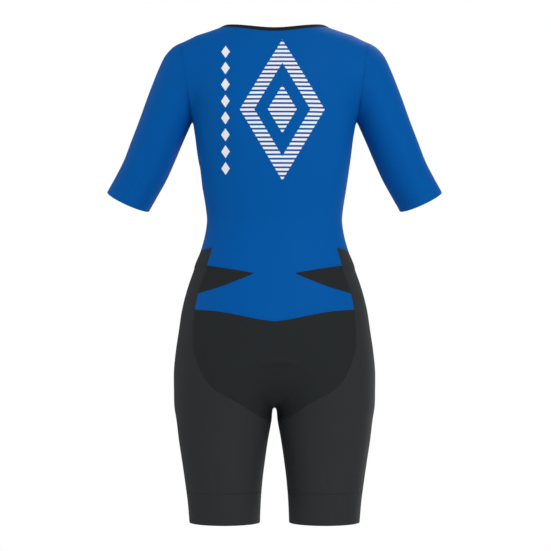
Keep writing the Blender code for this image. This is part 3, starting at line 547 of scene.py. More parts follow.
class Seam:
    """A smooth curve on the form through control coordinates."""

    def __init__(self, controls: Sequence[Sequence[float]]) -> None:
        """Store the curve.

        Args:
            controls: Turn and level of each control point.
        """
        table = np.array(controls)
        steps = np.linalg.norm(np.diff(table * (MEAN_RADIUS, 1.0), axis=0), axis=1)
        self.knots = np.concatenate([[0], np.cumsum(steps)])
        rows = [(knot, turn, level) for knot, (turn, level) in zip(self.knots, table)]
        self.table = Sections(("along", "turn", "level"), rows)

    def section(self, first: int, last: int, cells: int) -> Edge:
        """The stretch between two control points, cut into equal lengths.

        Args:
            first: Index of the control point where it starts.
            last: Index of the one where it ends.
            cells: Number of CAD cells along it.

        Returns:
            The edge, cut finer than the CAD's.
        """
        count = cells * FINER
        along = np.linspace(self.knots[first], self.knots[last], SAMPLES_PER_CELL * count + 1)
        dense = self.table.read(along)
        coordinates = evenly(Form.place(dense), dense, count)
        return Edge(Form.place(coordinates), coordinates)

    def whole(self, cells: int) -> Edge:
        """The whole curve, cut into equal lengths."""
        return self.section(0, len(self.knots) - 1, cells)


def level_of(height: float) -> float:
    """Level coordinate of a height under the ray centre."""
    return height - RAY_CENTRE


def neck_line(turns: np.ndarray, side: float, back: float, front: float) -> np.ndarray:
    """Points of a neck line that dips towards the back and the front.

    Args:
        turns: Turns about the upright axis.
        side: Height at the neck side points.
        back: Height at the middle of the back.
        front: Height at the middle of the front.

    Returns:
        A point on the form for each turn.
    """
    dip = np.where(turns > 0, back - side, front - side)
    heights = side + dip * np.sin(turns) ** 2
    origins = np.stack([np.zeros_like(turns), np.zeros_like(turns), heights], axis=-1)
    directions = np.stack([np.cos(turns), np.sin(turns), np.zeros_like(turns)], axis=-1)
    return Form.cast(origins, directions)


def arm_ring(share: float, angles: np.ndarray) -> np.ndarray:
    """Points around the sleeve.

    Args:
        share: 0 at the armhole, 1 at the cuff.
        angles: Angles around the arm, 0 at the back and a quarter turn at the top.

    Returns:
        A point for each angle.
    """
    turn_share = np.clip(share / SLEEVE_TURN_SHARE, 0, 1)
    eased = turn_share * turn_share * (3 - 2 * turn_share)
    lean = ARMHOLE_LEAN + (pi / 2 - ARM_LEAN - ARMHOLE_LEAN) * eased
    centre = ARMHOLE_CENTRE + (CUFF_CENTRE - ARMHOLE_CENTRE) * share
    up = np.array((sin(lean), 0.0, cos(lean)))
    back = BACKWARDS + (ARM_BACK - BACKWARDS) * eased
    back /= np.linalg.norm(back)
    return Form.cast(centre, np.cos(angles)[:, None] * back + np.sin(angles)[:, None] * up)


def middle_line(start: np.ndarray, end: np.ndarray, cells: int) -> np.ndarray:
    """Points on the middle plane, by rays from the seat's centre.

    Args:
        start: The first point.
        end: The last one.
        cells: Number of CAD cells between them.

    Returns:
        Points at equal lengths.
    """
    centre = np.array((0.0, 0.0, SEAT_RAY_CENTRE))
    side = 1.0 if start[1] > 0 else -1.0
    first = atan2(start[2] - centre[2], side * start[1])
    last = -pi / 2 if abs(end[1]) < TINY else atan2(end[2] - centre[2], side * end[1])
    count = cells * FINER
    angles = np.linspace(first, last, SAMPLES_PER_CELL * count + 1)[:, None]

    def points_at(values: np.ndarray) -> np.ndarray:
        """Points on the form at angles in the middle plane."""
        directions = np.hstack([0 * values, side * np.cos(values), np.sin(values)])
        return Form.cast(centre, directions)

    return points_at(evenly(points_at(angles), angles, count))


def middle_back(first: float, last: float, cells: int) -> Edge:
    """An edge down the middle of the back between two heights."""
    heights = np.linspace(first, last, cells * FINER + 1)
    return Edge.at(Form.seen_along(BACKWARDS, [(0.0, height) for height in heights]))


@dataclass
class Layout:
    """All edges that two or more panels share, on the wearer's left."""

    edges: dict[str, Edge] = field(default_factory=dict)
    sleeve_angles: np.ndarray = field(default_factory=lambda: np.zeros(0))

    def __getitem__(self, name: str) -> Edge:
        """The edge of that name."""
        return self.edges[name]

    def work_out(self) -> None:
        """Work out every shared edge from the form and the seam tables."""
        self.upper_edges()
        self.lower_edges()

    def upper_edges(self) -> None:
        """Neck, shoulders and armholes."""
        quarter = 90 + degrees(ARMHOLE_SEAM_TURN)
        count = ARMHOLE_ROWS * FINER + 1
        back_angles = np.radians(np.linspace(-quarter, quarter, count))
        front_angles = np.radians(np.linspace(360 - quarter, quarter, count))
        armhole_back = Edge.at(arm_ring(0, back_angles))
        armhole_front = Edge.at(arm_ring(0, front_angles))
        self.sleeve_angles = np.concatenate([back_angles, front_angles[::-1][1:]])
        levels = (NECK_SIDE, NECK_BACK, NECK_FRONT)
        shoulder_turn = armhole_back.coordinates[-1][0]
        neck_side = neck_line(np.array([shoulder_turn]), *levels)[0]
        zip_top = Form.seen_along(FORWARDS, [(ZIP_HALF_OPENING, NECK_FRONT)])[0]
        zip_turn = atan2(zip_top[1], zip_top[0])
        back_count = (NECK_COLUMNS + WEDGE_COLUMNS + OUTER_COLUMNS) * FINER + 1
        front_count = (FRONT_COLUMNS + FRONT_SIDE_COLUMNS) * FINER + 1
        shoulder_ends = np.array([armhole_back.points[-1], neck_side])
        self.edges.update(
            armhole_back=armhole_back,
            armhole_front=armhole_front,
            neck_back=Edge.at(neck_line(np.linspace(pi / 2, shoulder_turn, back_count), *levels)),
            neck_front=Edge.at(neck_line(np.linspace(zip_turn, shoulder_turn, front_count), *levels)),
            shoulder=Seam(Form.coordinates(shoulder_ends)).whole(SHOULDER_ROWS))

    def lower_edges(self) -> None:
        """Side panels, wedges, band, seat, zip and legs."""
        rear_controls = list(Form.coordinates(Form.seen_along(BACKWARDS, REAR_SEAM)))
        rear = Seam(rear_controls + [(pi, level_of(GUSSET))])
        front_controls = list(Form.coordinates(Form.seen_along(FORWARDS, FRONT_SEAM)))
        front = Seam(front_controls + [(-pi, level_of(GUSSET))])
        side_point = (SIDE_SEAM_TURN, level_of(SIDE_PANEL_TOP))
        columns = NECK_COLUMNS + WEDGE_COLUMNS
        corner_middle = (pi / 2, rear_controls[0][1] - CORNER_DROP)
        corner_row = Seam([corner_middle, rear_controls[0]]).whole(columns)
        upper = Form.coordinates(Form.seen_along(BACKWARDS, WEDGE_UPPER_EDGE))
        lower = Form.coordinates(Form.seen_along(BACKWARDS, WEDGE_LOWER_EDGE))
        foot_controls = Form.coordinates(Form.seen_along(BACKWARDS, BAND_LOWER_EDGE))
        band_foot = Seam(foot_controls).whole(columns)
        notch_middle = Form.seen_along(BACKWARDS, [(0.0, WEDGE_UPPER_EDGE[0][1])])
        back_rows = SIDE_ROWS + ARMHOLE_ROWS + SHOULDER_ROWS
        middle = [corner_row.coordinates[0], (pi / 2, self["neck_back"].coordinates[0][1])]
        waist_centre = Form.seen_along(FORWARDS, [(0.0, WAIST_SEAM)])[0]
        front_waist = Seam([Form.coordinates(waist_centre), front_controls[0]]).whole(FRONT_COLUMNS)
        crotch = Form.cast(np.array((0.0, 0.0, SEAT_RAY_CENTRE)), DOWNWARDS)
        gusset = Seam([(pi, level_of(crotch[2])), (pi, level_of(GUSSET))]).whole(columns)
        gusset.points[0] = crotch
        upper_rows = SEAT_UPPER_ROWS + BAND_ROWS + WEDGE_ROWS + CORNER_ROWS
        front_middle = middle_line(waist_centre, crotch, upper_rows + SEAT_LOWER_ROWS)
        side_columns = OUTER_COLUMNS + FRONT_SIDE_COLUMNS
        band_row = [(turn, level_of(LEG_BAND_SEAM)) for turn in (pi, -pi)]
        thigh_ends = [rear_controls[REAR_THIGH], front_controls[FRONT_THIGH]]
        self.edges.update(
            side_seam=Seam([side_point, self["armhole_back"].coordinates[0]]).whole(SIDE_ROWS),
            centre_back=Seam(middle).whole(back_rows),
            zip_edge=self.zip_edge(front_waist, back_rows),
            corner_row=corner_row,
            top_back=Seam([rear_controls[0], side_point]).whole(OUTER_COLUMNS),
            top_front=Seam([side_point, front_controls[0]]).whole(FRONT_SIDE_COLUMNS),
            wedge_neck=Seam([Form.coordinates(notch_middle)[0], upper[0]]).whole(NECK_COLUMNS),
            wedge_upper=Seam(upper).whole(WEDGE_COLUMNS),
            wedge_lower=Seam(lower).whole(WEDGE_COLUMNS),
            rear_corner=rear.section(0, REAR_WEDGE_TOP, CORNER_ROWS),
            rear_wedge=rear.section(REAR_WEDGE_TOP, REAR_WEDGE_FOOT, WEDGE_ROWS),
            rear_band=rear.section(REAR_WEDGE_FOOT, REAR_BAND_FOOT, BAND_ROWS),
            rear_seat=rear.section(REAR_BAND_FOOT, REAR_THIGH, SEAT_UPPER_ROWS),
            rear_thigh=rear.section(REAR_THIGH, len(rear_controls), SEAT_LOWER_ROWS),
            band_foot=band_foot,
            seat_middle=Edge.at(middle_line(band_foot.points[0], crotch, SEAT_ROWS)),
            gusset=gusset,
            front_seam=front.section(0, FRONT_THIGH, upper_rows),
            front_thigh=front.section(FRONT_THIGH, len(front_controls), SEAT_LOWER_ROWS),
            thigh_row=Seam(thigh_ends).whole(side_columns),
            front_waist=front_waist,
            front_middle=Edge.at(front_middle).in_front(),
            inseam=Seam([(pi, level_of(LEG_BAND_SEAM)), (pi, level_of(GUSSET))]).whole(INSEAM_ROWS),
            leg_band_seam=Seam(band_row).whole(LEG_COLUMNS))

    def zip_edge(self, front_waist: Edge, rows: int) -> Edge:
        """The edge of the front panel beside the zip, from the waist seam to the neck.

        Args:
            front_waist: The waist seam.
            rows: Number of CAD cells along the zip.

        Returns:
            The edge.
        """
        share = ZIP_HALF_OPENING / front_waist.points[FINER][0]
        foot = WAIST_SEAM + share * (front_waist.points[FINER][2] - WAIST_SEAM)
        top = self["neck_front"].points[0][2]
        count = rows * FINER

        def points_at(heights: np.ndarray) -> np.ndarray:
            """Points beside the zip at the given heights."""
            return Form.seen_along(FORWARDS, [(ZIP_HALF_OPENING, height) for height in heights])

        dense = points_at(np.linspace(foot, top, SAMPLES_PER_CELL * count + 1))
        return Edge.at(points_at(evenly(dense, dense[:, 2:], count)[:, 0]))


def coons(first: np.ndarray, last: np.ndarray, inner: np.ndarray, outer: np.ndarray) -> np.ndarray:
    """Blend four edges of numbers over a grid.

    Args:
        first: The first row, from inner to outer.
        last: The last row.
        inner: The first column.
        outer: The last column.

    Returns:
        Numbers with an axis for rows and one for columns.
    """
    across = np.linspace(0, 1, len(first))[None, :, None]
    along = np.linspace(0, 1, len(inner))[:, None, None]
    by_rows = first[None] * (1 - along) + last[None] * along
    by_sides = inner[:, None] * (1 - across) + outer[:, None] * across
    start = first[None, :1] * (1 - across) + first[None, -1:] * across
    end = last[None, :1] * (1 - across) + last[None, -1:] * across
    return by_rows + by_sides - (start * (1 - along) + end * along)


def relax(grid: np.ndarray, rounds: int, steps: int) -> np.ndarray:
    """Spread the inner points of a grid evenly over the form.

    Args:
        grid: The grid, which is changed.
        rounds: Number of rounds.
        steps: Moves onto the form in each round.

    Returns:
        The same grid.
    """
    for _ in range(rounds):
        around = grid[:-2, 1:-1] + grid[2:, 1:-1] + grid[1:-1, :-2] + grid[1:-1, 2:]
        grid[1:-1, 1:-1] = Form.settle(around / 4, steps)
    return grid


def finer_line(values: np.ndarray) -> np.ndarray:
    """Numbers between those of a coarse line.

    Args:
        values: The coarse line, along its first axis.

    Returns:
        The fine line.
    """
    places = np.linspace(0, len(values) - 1, (len(values) - 1) * FINER + 1)
    low = np.minimum(places.astype(int), len(values) - 2)
    share = (places - low).reshape((-1,) + (1,) * (values.ndim - 1))
    return values[low] * (1 - share) + values[low + 1] * share


def fill(first: Edge, last: Edge, inner: Edge, outer: Edge) -> np.ndarray:
    """Fine grid of points on the form between four edges.

    Args:
        first: The first row, from inner to outer.
        last: The last row.
        inner: The first column.
        outer: The last column.

    Returns:
        Points with an axis for rows and one for columns.
    """
    fine = (first, last, inner, outer)
    coarse = [edge.coarse() for edge in fine]
    grid = Form.place(coons(*(edge.coordinates for edge in coarse)))
    grid[0], grid[-1] = coarse[0].points, coarse[1].points
    grid[:, 0], grid[:, -1] = coarse[2].points, coarse[3].points
    grid = relax(grid, RELAX_ROUNDS, SETTLE_STEPS)
    dense = finer_line(finer_line(grid).swapaxes(0, 1)).swapaxes(0, 1)
    gaps = [edge.points - finer_line(rough.points) for edge, rough in zip(fine, coarse)]
    dense = Form.settle(dense + coons(*gaps))
    dense[0], dense[-1] = first.points, last.points
    dense[:, 0], dense[:, -1] = inner.points, outer.points
    return relax(dense, FINE_RELAX_ROUNDS, 1)


# A crease's line and profile
LINE_POINTS = 8
REACH_WIDTHS = 4
RIM_AT = 1.9
TAPER_START, TAPER_SPAN, TAPER_POWER = 0.06, 0.88, 0.8
MIRROR_WIDER = 1.1


@dataclass(frozen=True)
class Crease:
    """A soft trough, or a ridge where its depth is below zero, across the cloth."""

    route: tuple[tuple[float, float], ...]
    width: float
    depth: float
    behind: bool = True
    rim: float = 0.3

    @cache
    def line(self) -> np.ndarray:
        """Points on the form along the crease's route.

        Returns:
            The points, close together.
        """
        table = np.array(self.route)
        share = np.linspace(0, len(table) - 1, LINE_POINTS * (len(table) - 1) + 1)
        across = np.interp(share, range(len(table)), table[:, 0])
        heights = np.interp(share, range(len(table)), table[:, 1])
        direction = BACKWARDS if self.behind else FORWARDS
        points = Form.seen_along(direction, np.stack([np.abs(across), heights], axis=-1))
        return points * np.where(across[:, None] < 0, MIRROR, 1.0)

    def drop(self, points: np.ndarray) -> np.ndarray:
        """How far the crease lowers the cloth.

        Args:
            points: Points of the cloth.

        Returns:
            A depth for each point.
        """
        line = self.line()
        reach = REACH_WIDTHS * self.width
        low, high = line.min(axis=0) - reach, line.max(axis=0) + reach
        near = ((points > low) & (points < high)).all(axis=-1)
        result = np.zeros(points.shape[:-1])
        if not near.any():
            return result
        chosen = points[near]
        apart = np.linalg.norm(chosen[:, None] - line[None], axis=-1)
        nearest = apart.argmin(axis=1)
        share = nearest / (len(line) - 1)
        distance = apart.min(axis=1) / self.width
        taper = np.sin(pi * (TAPER_START + TAPER_SPAN * share)) ** TAPER_POWER
        profile = np.exp(-distance ** 2) - self.rim * np.exp(-(distance - RIM_AT) ** 2)
        result[near] = self.depth * taper * profile
        return result


def both_sides(crease: Crease, uneven: float = 0.8) -> list[Crease]:
    """A crease and a shallower one across the middle plane.

    Args:
        crease: The crease.
        uneven: The other one's share of its depth.

    Returns:
        Both creases.
    """
    route = tuple((-across, height) for across, height in crease.route)
    width, depth = crease.width * MIRROR_WIDER, crease.depth * uneven
    return [crease, Crease(route, width, depth, crease.behind, crease.rim)]


CREASES: tuple[Crease, ...] = (
    # soft hollows down the back's sides, below the armpits
    Crease(((0.1430, -0.176), (0.1380, -0.215), (0.1360, -0.275)), 0.0110, 0.0036),
    Crease(((-0.1420, -0.180), (-0.1370, -0.210), (-0.1350, -0.245)), 0.0095, 0.0006),
    # short folds above the armpits, behind
    Crease(((0.1600, -0.126), (0.1550, -0.150), (0.1495, -0.180)), 0.0032, 0.0022),
    Crease(((-0.1580, -0.134), (-0.1525, -0.155), (-0.1490, -0.182)), 0.0030, 0.0024),
    # and in front
    *both_sides(Crease(((0.158, -0.108), (0.150, -0.140), (0.141, -0.170)), 0.0060, 0.0022, False)),
    *both_sides(Crease(((0.128, -0.128), (0.112, -0.150), (0.092, -0.166)), 0.0075, 0.0010, False)),
    # edge of the pad, showing through the seat
    Crease(((0.063, -0.655), (0.052, -0.632), (0.030, -0.6165), (0.003, -0.6110), (-0.022, -0.6120),
            (-0.042, -0.6165), (-0.058, -0.6250), (-0.068, -0.645)), 0.0052, -0.0040, True, 0.0),
    # small fold over the seat seam
    Crease(((0.0800, -0.6700), (0.0735, -0.6800), (0.0660, -0.6915)), 0.0042, 0.0022),
    Crease(((-0.0700, -0.6780), (-0.0640, -0.6880), (-0.0560, -0.6960)), 0.0042, 0.0010),
    # slack at the waist, in front and at the sides
    *both_sides(Crease(((0.118, -0.395), (0.085, -0.404), (0.048, -0.402)), 0.0080, 0.0010, False)),
    *both_sides(Crease(((0.108, -0.362), (0.078, -0.368), (0.052, -0.364)), 0.0075, 0.0007, False)),
    # drag lines from the crotch, in front
    *both_sides(Crease(((0.022, -0.700), (0.045, -0.680), (0.072, -0.668)), 0.0060, 0.0010, False)),
    *both_sides(Crease(((0.100, -0.720), (0.084, -0.712), (0.060, -0.716)), 0.0075, 0.0007, False)),
)


def displace(points: np.ndarray) -> np.ndarray:
    """Points of the form moved in and out by every crease."""
    drop = sum((crease.drop(points) for crease in CREASES), np.zeros(points.shape[:-1]))
    return points - Form.outward(points) * drop[..., None]


class Weave(Enum):
    """Kinds of cloth surface: rows to the metre across and along."""

    KNIT = (1150.0, 820.0)
    FIRM_KNIT = (1500.0, 1100.0)
    TAPE = (900.0, 2400.0)
    FLEECE = (420.0, 420.0)


# How far the ribs lean the rows of loops, and the ribs' share of the relief
RIB_LEAN = 0.5
RIB_SHARE = 0.6


class Groups:
    """Shader node groups that several finishes share, and the node steps they use."""

    @staticmethod
    def begin(name: str, numbers: dict[str, float],
              result: str) -> tuple[bpy.types.NodeTree, bpy.types.Node, bpy.types.Node]:
        """Start a group.

        Args:
            name: The group's name.
            numbers: Its inputs, with their usual numbers.
            result: Its output.

        Returns:
            The group, its input node and its output node.
        """
        tree = bpy.data.node_groups.new(name, "ShaderNodeTree")
        for label, value in numbers.items():
            made = tree.interface.new_socket(name=label, in_out="INPUT", socket_type="NodeSocketFloat")
            made.default_value = value
        tree.interface.new_socket(name=result, in_out="OUTPUT", socket_type="NodeSocketFloat")
        return tree, tree.nodes.new("NodeGroupInput"), tree.nodes.new("NodeGroupOutput")

    @staticmethod
    def maths(tree: bpy.types.NodeTree, operation: str, *values: object) -> bpy.types.NodeSocket:
        """Add a Math node.

        Args:
            tree: Where it is added.
            operation: What it works out.
            values: Sockets or numbers for its inputs.

        Returns:
            Its output.
        """
        node = tree.nodes.new("ShaderNodeMath")
        node.operation = operation
        for index, value in enumerate(values):
            if isinstance(value, bpy.types.NodeSocket):
                tree.links.new(value, node.inputs[index])
            else:
                node.inputs[index].default_value = value
        return node.outputs[0]

    @staticmethod
    def split(tree: bpy.types.NodeTree, vector: bpy.types.NodeSocket) -> list[bpy.types.NodeSocket]:
        """Part a vector.

        Args:
            tree: Where the node is added.
            vector: The vector's socket.

        Returns:
            Sockets of its X, Y and Z.
        """
        parts = tree.nodes.new("ShaderNodeSeparateXYZ")
        tree.links.new(vector, parts.inputs[0])
        return list(parts.outputs)

    @classmethod
    def knit(cls) -> bpy.types.NodeTree:
        """Loops of a knitted or woven cloth, from a UV map in metres.

        Returns:
            The group, built once.
        """
        name = "knit_loops"
        if name in bpy.data.node_groups:
            return bpy.data.node_groups[name]
        tree, inputs, outputs = cls.begin(name, {"Across": 1000.0, "Along": 1000.0}, "Height")
        maths = partial(cls.maths, tree)
        chart = tree.nodes.new("ShaderNodeUVMap")
        chart.uv_map = "cloth"
        across, along, _ = cls.split(tree, chart.outputs[0])
        column = maths("MULTIPLY", across, inputs.outputs["Across"])
        row = maths("MULTIPLY", along, inputs.outputs["Along"])
        rib = maths("SINE", maths("MULTIPLY", column, 2 * pi))
        lean = maths("MULTIPLY", maths("ABSOLUTE", rib), RIB_LEAN)
        loop = maths("SINE", maths("MULTIPLY", maths("ADD", row, lean), 2 * pi))
        low = maths("MULTIPLY", loop, 1 - RIB_SHARE)
        tree.links.new(maths("ADD", maths("MULTIPLY", rib, RIB_SHARE), low), outputs.inputs["Height"])
        return tree

    @classmethod
    def drift(cls) -> bpy.types.NodeTree:
        """Slow change of tone over the cloth, from its place on the object.

        Returns:
            The group, built once.
        """
        name = "tone_drift"
        if name in bpy.data.node_groups:
            return bpy.data.node_groups[name]
        tree, inputs, outputs = cls.begin(name, {"Scale": 9.0, "Amount": 0.06}, "Tone")
        maths = partial(cls.maths, tree)
        place = tree.nodes.new("ShaderNodeTexCoord")
        noise = tree.nodes.new("ShaderNodeTexNoise")
        noise.inputs["Detail"].default_value = 3.0
        tree.links.new(place.outputs["Object"], noise.inputs["Vector"])
        tree.links.new(inputs.outputs["Scale"], noise.inputs["Scale"])
        swing = maths("MULTIPLY", maths("SUBTRACT", noise.outputs[0], 0.5), inputs.outputs["Amount"])
        tree.links.new(maths("ADD", swing, 1.0), outputs.inputs["Tone"])
        return tree


Socket = bpy.types.NodeSocket
Maths = Callable[..., Socket]


@dataclass(frozen=True)
class Finish:
    """A finish: its name, colour and roughness."""

    name: str
    colour: tuple[float, float, float]
    roughness: float

    def material(self) -> bpy.types.Material:
        """Build the finish's material.

        Returns:
            The material, built once.
        """
        if self.name in bpy.data.materials:
            return bpy.data.materials[self.name]
        made = bpy.data.materials.new(self.name)
        made.use_nodes = True
        self.dress(made.node_tree, made.node_tree.nodes["Principled BSDF"])
        return made

    def dress(self, tree: bpy.types.NodeTree, shader: bpy.types.Node) -> None:
        """Set the material's nodes; each kind of finish has its own."""


@dataclass(frozen=True)
class Cloth(Finish):
    """A cloth finish: its surface and weave."""

    weave: Weave
    relief: float = 0.00006
    sheen: float = 0.0
    drift: float = 0.08
    specular: float = 0.04
    sheen_roughness: float = 0.45
    bump_strength: float = 0.35

    def dress(self, tree: bpy.types.NodeTree, shader: bpy.types.Node) -> None:
        """Set the material's nodes.

        Args:
            tree: The material's nodes.
            shader: Its shader.
        """
        shader.inputs["Roughness"].default_value = self.roughness
        shader.inputs["Specular IOR Level"].default_value = self.specular
        shader.inputs["Sheen Weight"].default_value = self.sheen
        shader.inputs["Sheen Roughness"].default_value = self.sheen_roughness
        drift = tree.nodes.new("ShaderNodeGroup")
        drift.node_tree = Groups.drift()
        drift.inputs["Amount"].default_value = self.drift
        tone = tree.nodes.new("ShaderNodeVectorMath")
        tone.operation = "SCALE"
        tree.links.new(self.base_colour(tree), tone.inputs[0])
        tree.links.new(drift.outputs["Tone"], tone.inputs["Scale"])
        tree.links.new(tone.outputs[0], shader.inputs["Base Color"])
        knit = tree.nodes.new("ShaderNodeGroup")
        knit.node_tree = Groups.knit()
        knit.inputs["Across"].default_value, knit.inputs["Along"].default_value = self.weave.value
        bump = tree.nodes.new("ShaderNodeBump")
        bump.inputs["Strength"].default_value = self.bump_strength
        bump.inputs["Distance"].default_value = self.relief
        tree.links.new(knit.outputs["Height"], bump.inputs["Height"])
        tree.links.new(bump.outputs[0], shader.inputs["Normal"])

    def base_colour(self, tree: bpy.types.NodeTree) -> Socket:
        """The cloth's own colour, before its tone drifts.

        Args:
            tree: The material's nodes.

        Returns:
            The colour's socket.
        """
        node = tree.nodes.new("ShaderNodeRGB")
        node.outputs[0].default_value = (*self.colour, 1)
        return node.outputs[0]


@dataclass(frozen=True)
class PrintedCloth(Cloth):
    """Blue cloth with a white print on its outer face: a striped rhombus ring and a column of marks."""

    ink: tuple[float, float, float] = (0.90, 0.91, 0.95)
    centre: tuple[float, float] = (-0.0140, -0.1610)
    half_size: tuple[float, float] = (0.0760, 0.1270)
    pitch: float = 0.0076
    share: float = 0.56
    hollow: tuple[float, float] = (0.66, 0.34)
    column: float = 0.0880
    mark: tuple[float, float] = (0.0078, 0.0115)
    column_reach: float = 0.1200
    step: float = 0.0300

    def base_colour(self, tree: bpy.types.NodeTree) -> Socket:
        """Blue with white where the print is.

        Args:
            tree: The material's nodes.

        Returns:
            The colour's socket.
        """
        maths = partial(Groups.maths, tree)
        place = tree.nodes.new("ShaderNodeTexCoord")
        x, _, z = Groups.split(tree, place.outputs["Object"])
        _, facing, _ = Groups.split(tree, place.outputs["Normal"])
        height = maths("SUBTRACT", z, self.centre[1])
        striped = maths("MULTIPLY", self.rings(maths, x, height), self.stripes(maths, z))
        shapes = maths("MAXIMUM", striped, self.marks(maths, x, height))
        printed = maths("MULTIPLY", shapes, maths("GREATER_THAN", facing, 0.0))
        mix = tree.nodes.new("ShaderNodeMix")
        mix.data_type = "RGBA"
        tree.links.new(printed, mix.inputs["Factor"])
        mix.inputs["A"].default_value = (*self.colour, 1)
        mix.inputs["B"].default_value = (*self.ink, 1)
        return mix.outputs["Result"]

    def rings(self, maths: Maths, x: Socket, height: Socket) -> Socket:
        """A rhombus ring with a small rhombus in it.

        Args:
            maths: Adds a Math node to the material.
            x: Place across.
            height: Height over the print's centre.

        Returns:
            1 inside the shapes.
        """
        across = maths("SUBTRACT", x, self.centre[0])
        far = maths("ADD", maths("DIVIDE", maths("ABSOLUTE", across), self.half_size[0]),
                    maths("DIVIDE", maths("ABSOLUTE", height), self.half_size[1]))
        outer, heart = maths("LESS_THAN", far, 1.0), maths("LESS_THAN", far, self.hollow[1])
        ring = maths("MULTIPLY", outer, maths("GREATER_THAN", far, self.hollow[0]))
        return maths("MAXIMUM", ring, heart)

    def stripes(self, maths: Maths, z: Socket) -> Socket:
        """Level stripes, one to each pitch."""
        phase = maths("FRACT", maths("DIVIDE", maths("ADD", z, 1.0), self.pitch))
        return maths("LESS_THAN", phase, self.share)

    def marks(self, maths: Maths, x: Socket, height: Socket) -> Socket:
        """An upright column of small rhombuses.

        Args:
            maths: Adds a Math node to the material.
            x: Place across.
            height: Height over the print's centre.

        Returns:
            1 inside them.
        """
        half_width, half_height = self.mark
        from_foot = maths("DIVIDE", maths("ADD", height, self.column_reach), self.step)
        cell = maths("SUBTRACT", maths("FRACT", from_foot), 0.5)
        beside = maths("ABSOLUTE", maths("SUBTRACT", x, self.column))
        far = maths("ADD", maths("DIVIDE", beside, half_width),
                    maths("DIVIDE", maths("ABSOLUTE", cell), half_height / self.step))
        inside = maths("LESS_THAN", maths("ABSOLUTE", height), self.column_reach)
        return maths("MULTIPLY", maths("LESS_THAN", far, 1.0), inside)


@dataclass(frozen=True)
class Metal(Finish):
    """Dark satin metal."""

    grain_scale: float = 900.0
    grain_depth: float = 0.14

    def dress(self, tree: bpy.types.NodeTree, shader: bpy.types.Node) -> None:
        """Set the material's nodes.

        Args:
            tree: The material's nodes.
            shader: Its shader.
        """
        shader.inputs["Metallic"].default_value = 1.0
        shader.inputs["Base Color"].default_value = (*self.colour, 1)
        place = tree.nodes.new("ShaderNodeTexCoord")
        noise = tree.nodes.new("ShaderNodeTexNoise")
        noise.inputs["Scale"].default_value = self.grain_scale
        tree.links.new(place.outputs["Object"], noise.inputs["Vector"])
        rough = Groups.maths(tree, "MULTIPLY_ADD", noise.outputs[0], self.grain_depth,
                             self.roughness - self.grain_depth / 2)
        tree.links.new(rough, shader.inputs["Roughness"])


BLUE = (0.0004, 0.0975, 0.3820)
PRINTED_BLUE = PrintedCloth("printed_blue_knit", BLUE, 0.62, Weave.KNIT)
PLAIN_BLUE = Cloth("plain_blue_knit", BLUE, 0.62, Weave.KNIT)
SEAT_BLACK = Cloth("seat_black_knit", (0.0213, 0.0240, 0.0256), 0.72, Weave.KNIT)
LEG_BLACK = Cloth("leg_black_knit", (0.0300, 0.0322, 0.0352), 0.66, Weave.KNIT)
BAND_BLACK = Cloth("leg_band_black_knit", (0.0292, 0.0314, 0.0342), 0.66, Weave.FIRM_KNIT)
TRIM_BLACK = Cloth("binding_black_knit", (0.0150, 0.0165, 0.0190), 0.75, Weave.FIRM_KNIT)
PAD_GREY = Cloth("pad_fleece_grey", (0.0400, 0.0440, 0.0520), 0.85, Weave.FLEECE, 0.0002, 0.4)
TAPE_BLUE = Cloth("zip_tape_blue", (0.0040, 0.0800, 0.3000), 0.70, Weave.TAPE)
BLUE_THREAD = Cloth("blue_thread", (0.0046, 0.1000, 0.3700), 0.55, Weave.KNIT)
BLACK_THREAD = Cloth("black_thread", (0.0400, 0.0425, 0.0465), 0.55, Weave.KNIT)
ZIP_METAL = Metal("zip_metal_finish", (0.10, 0.105, 0.115), 0.36)


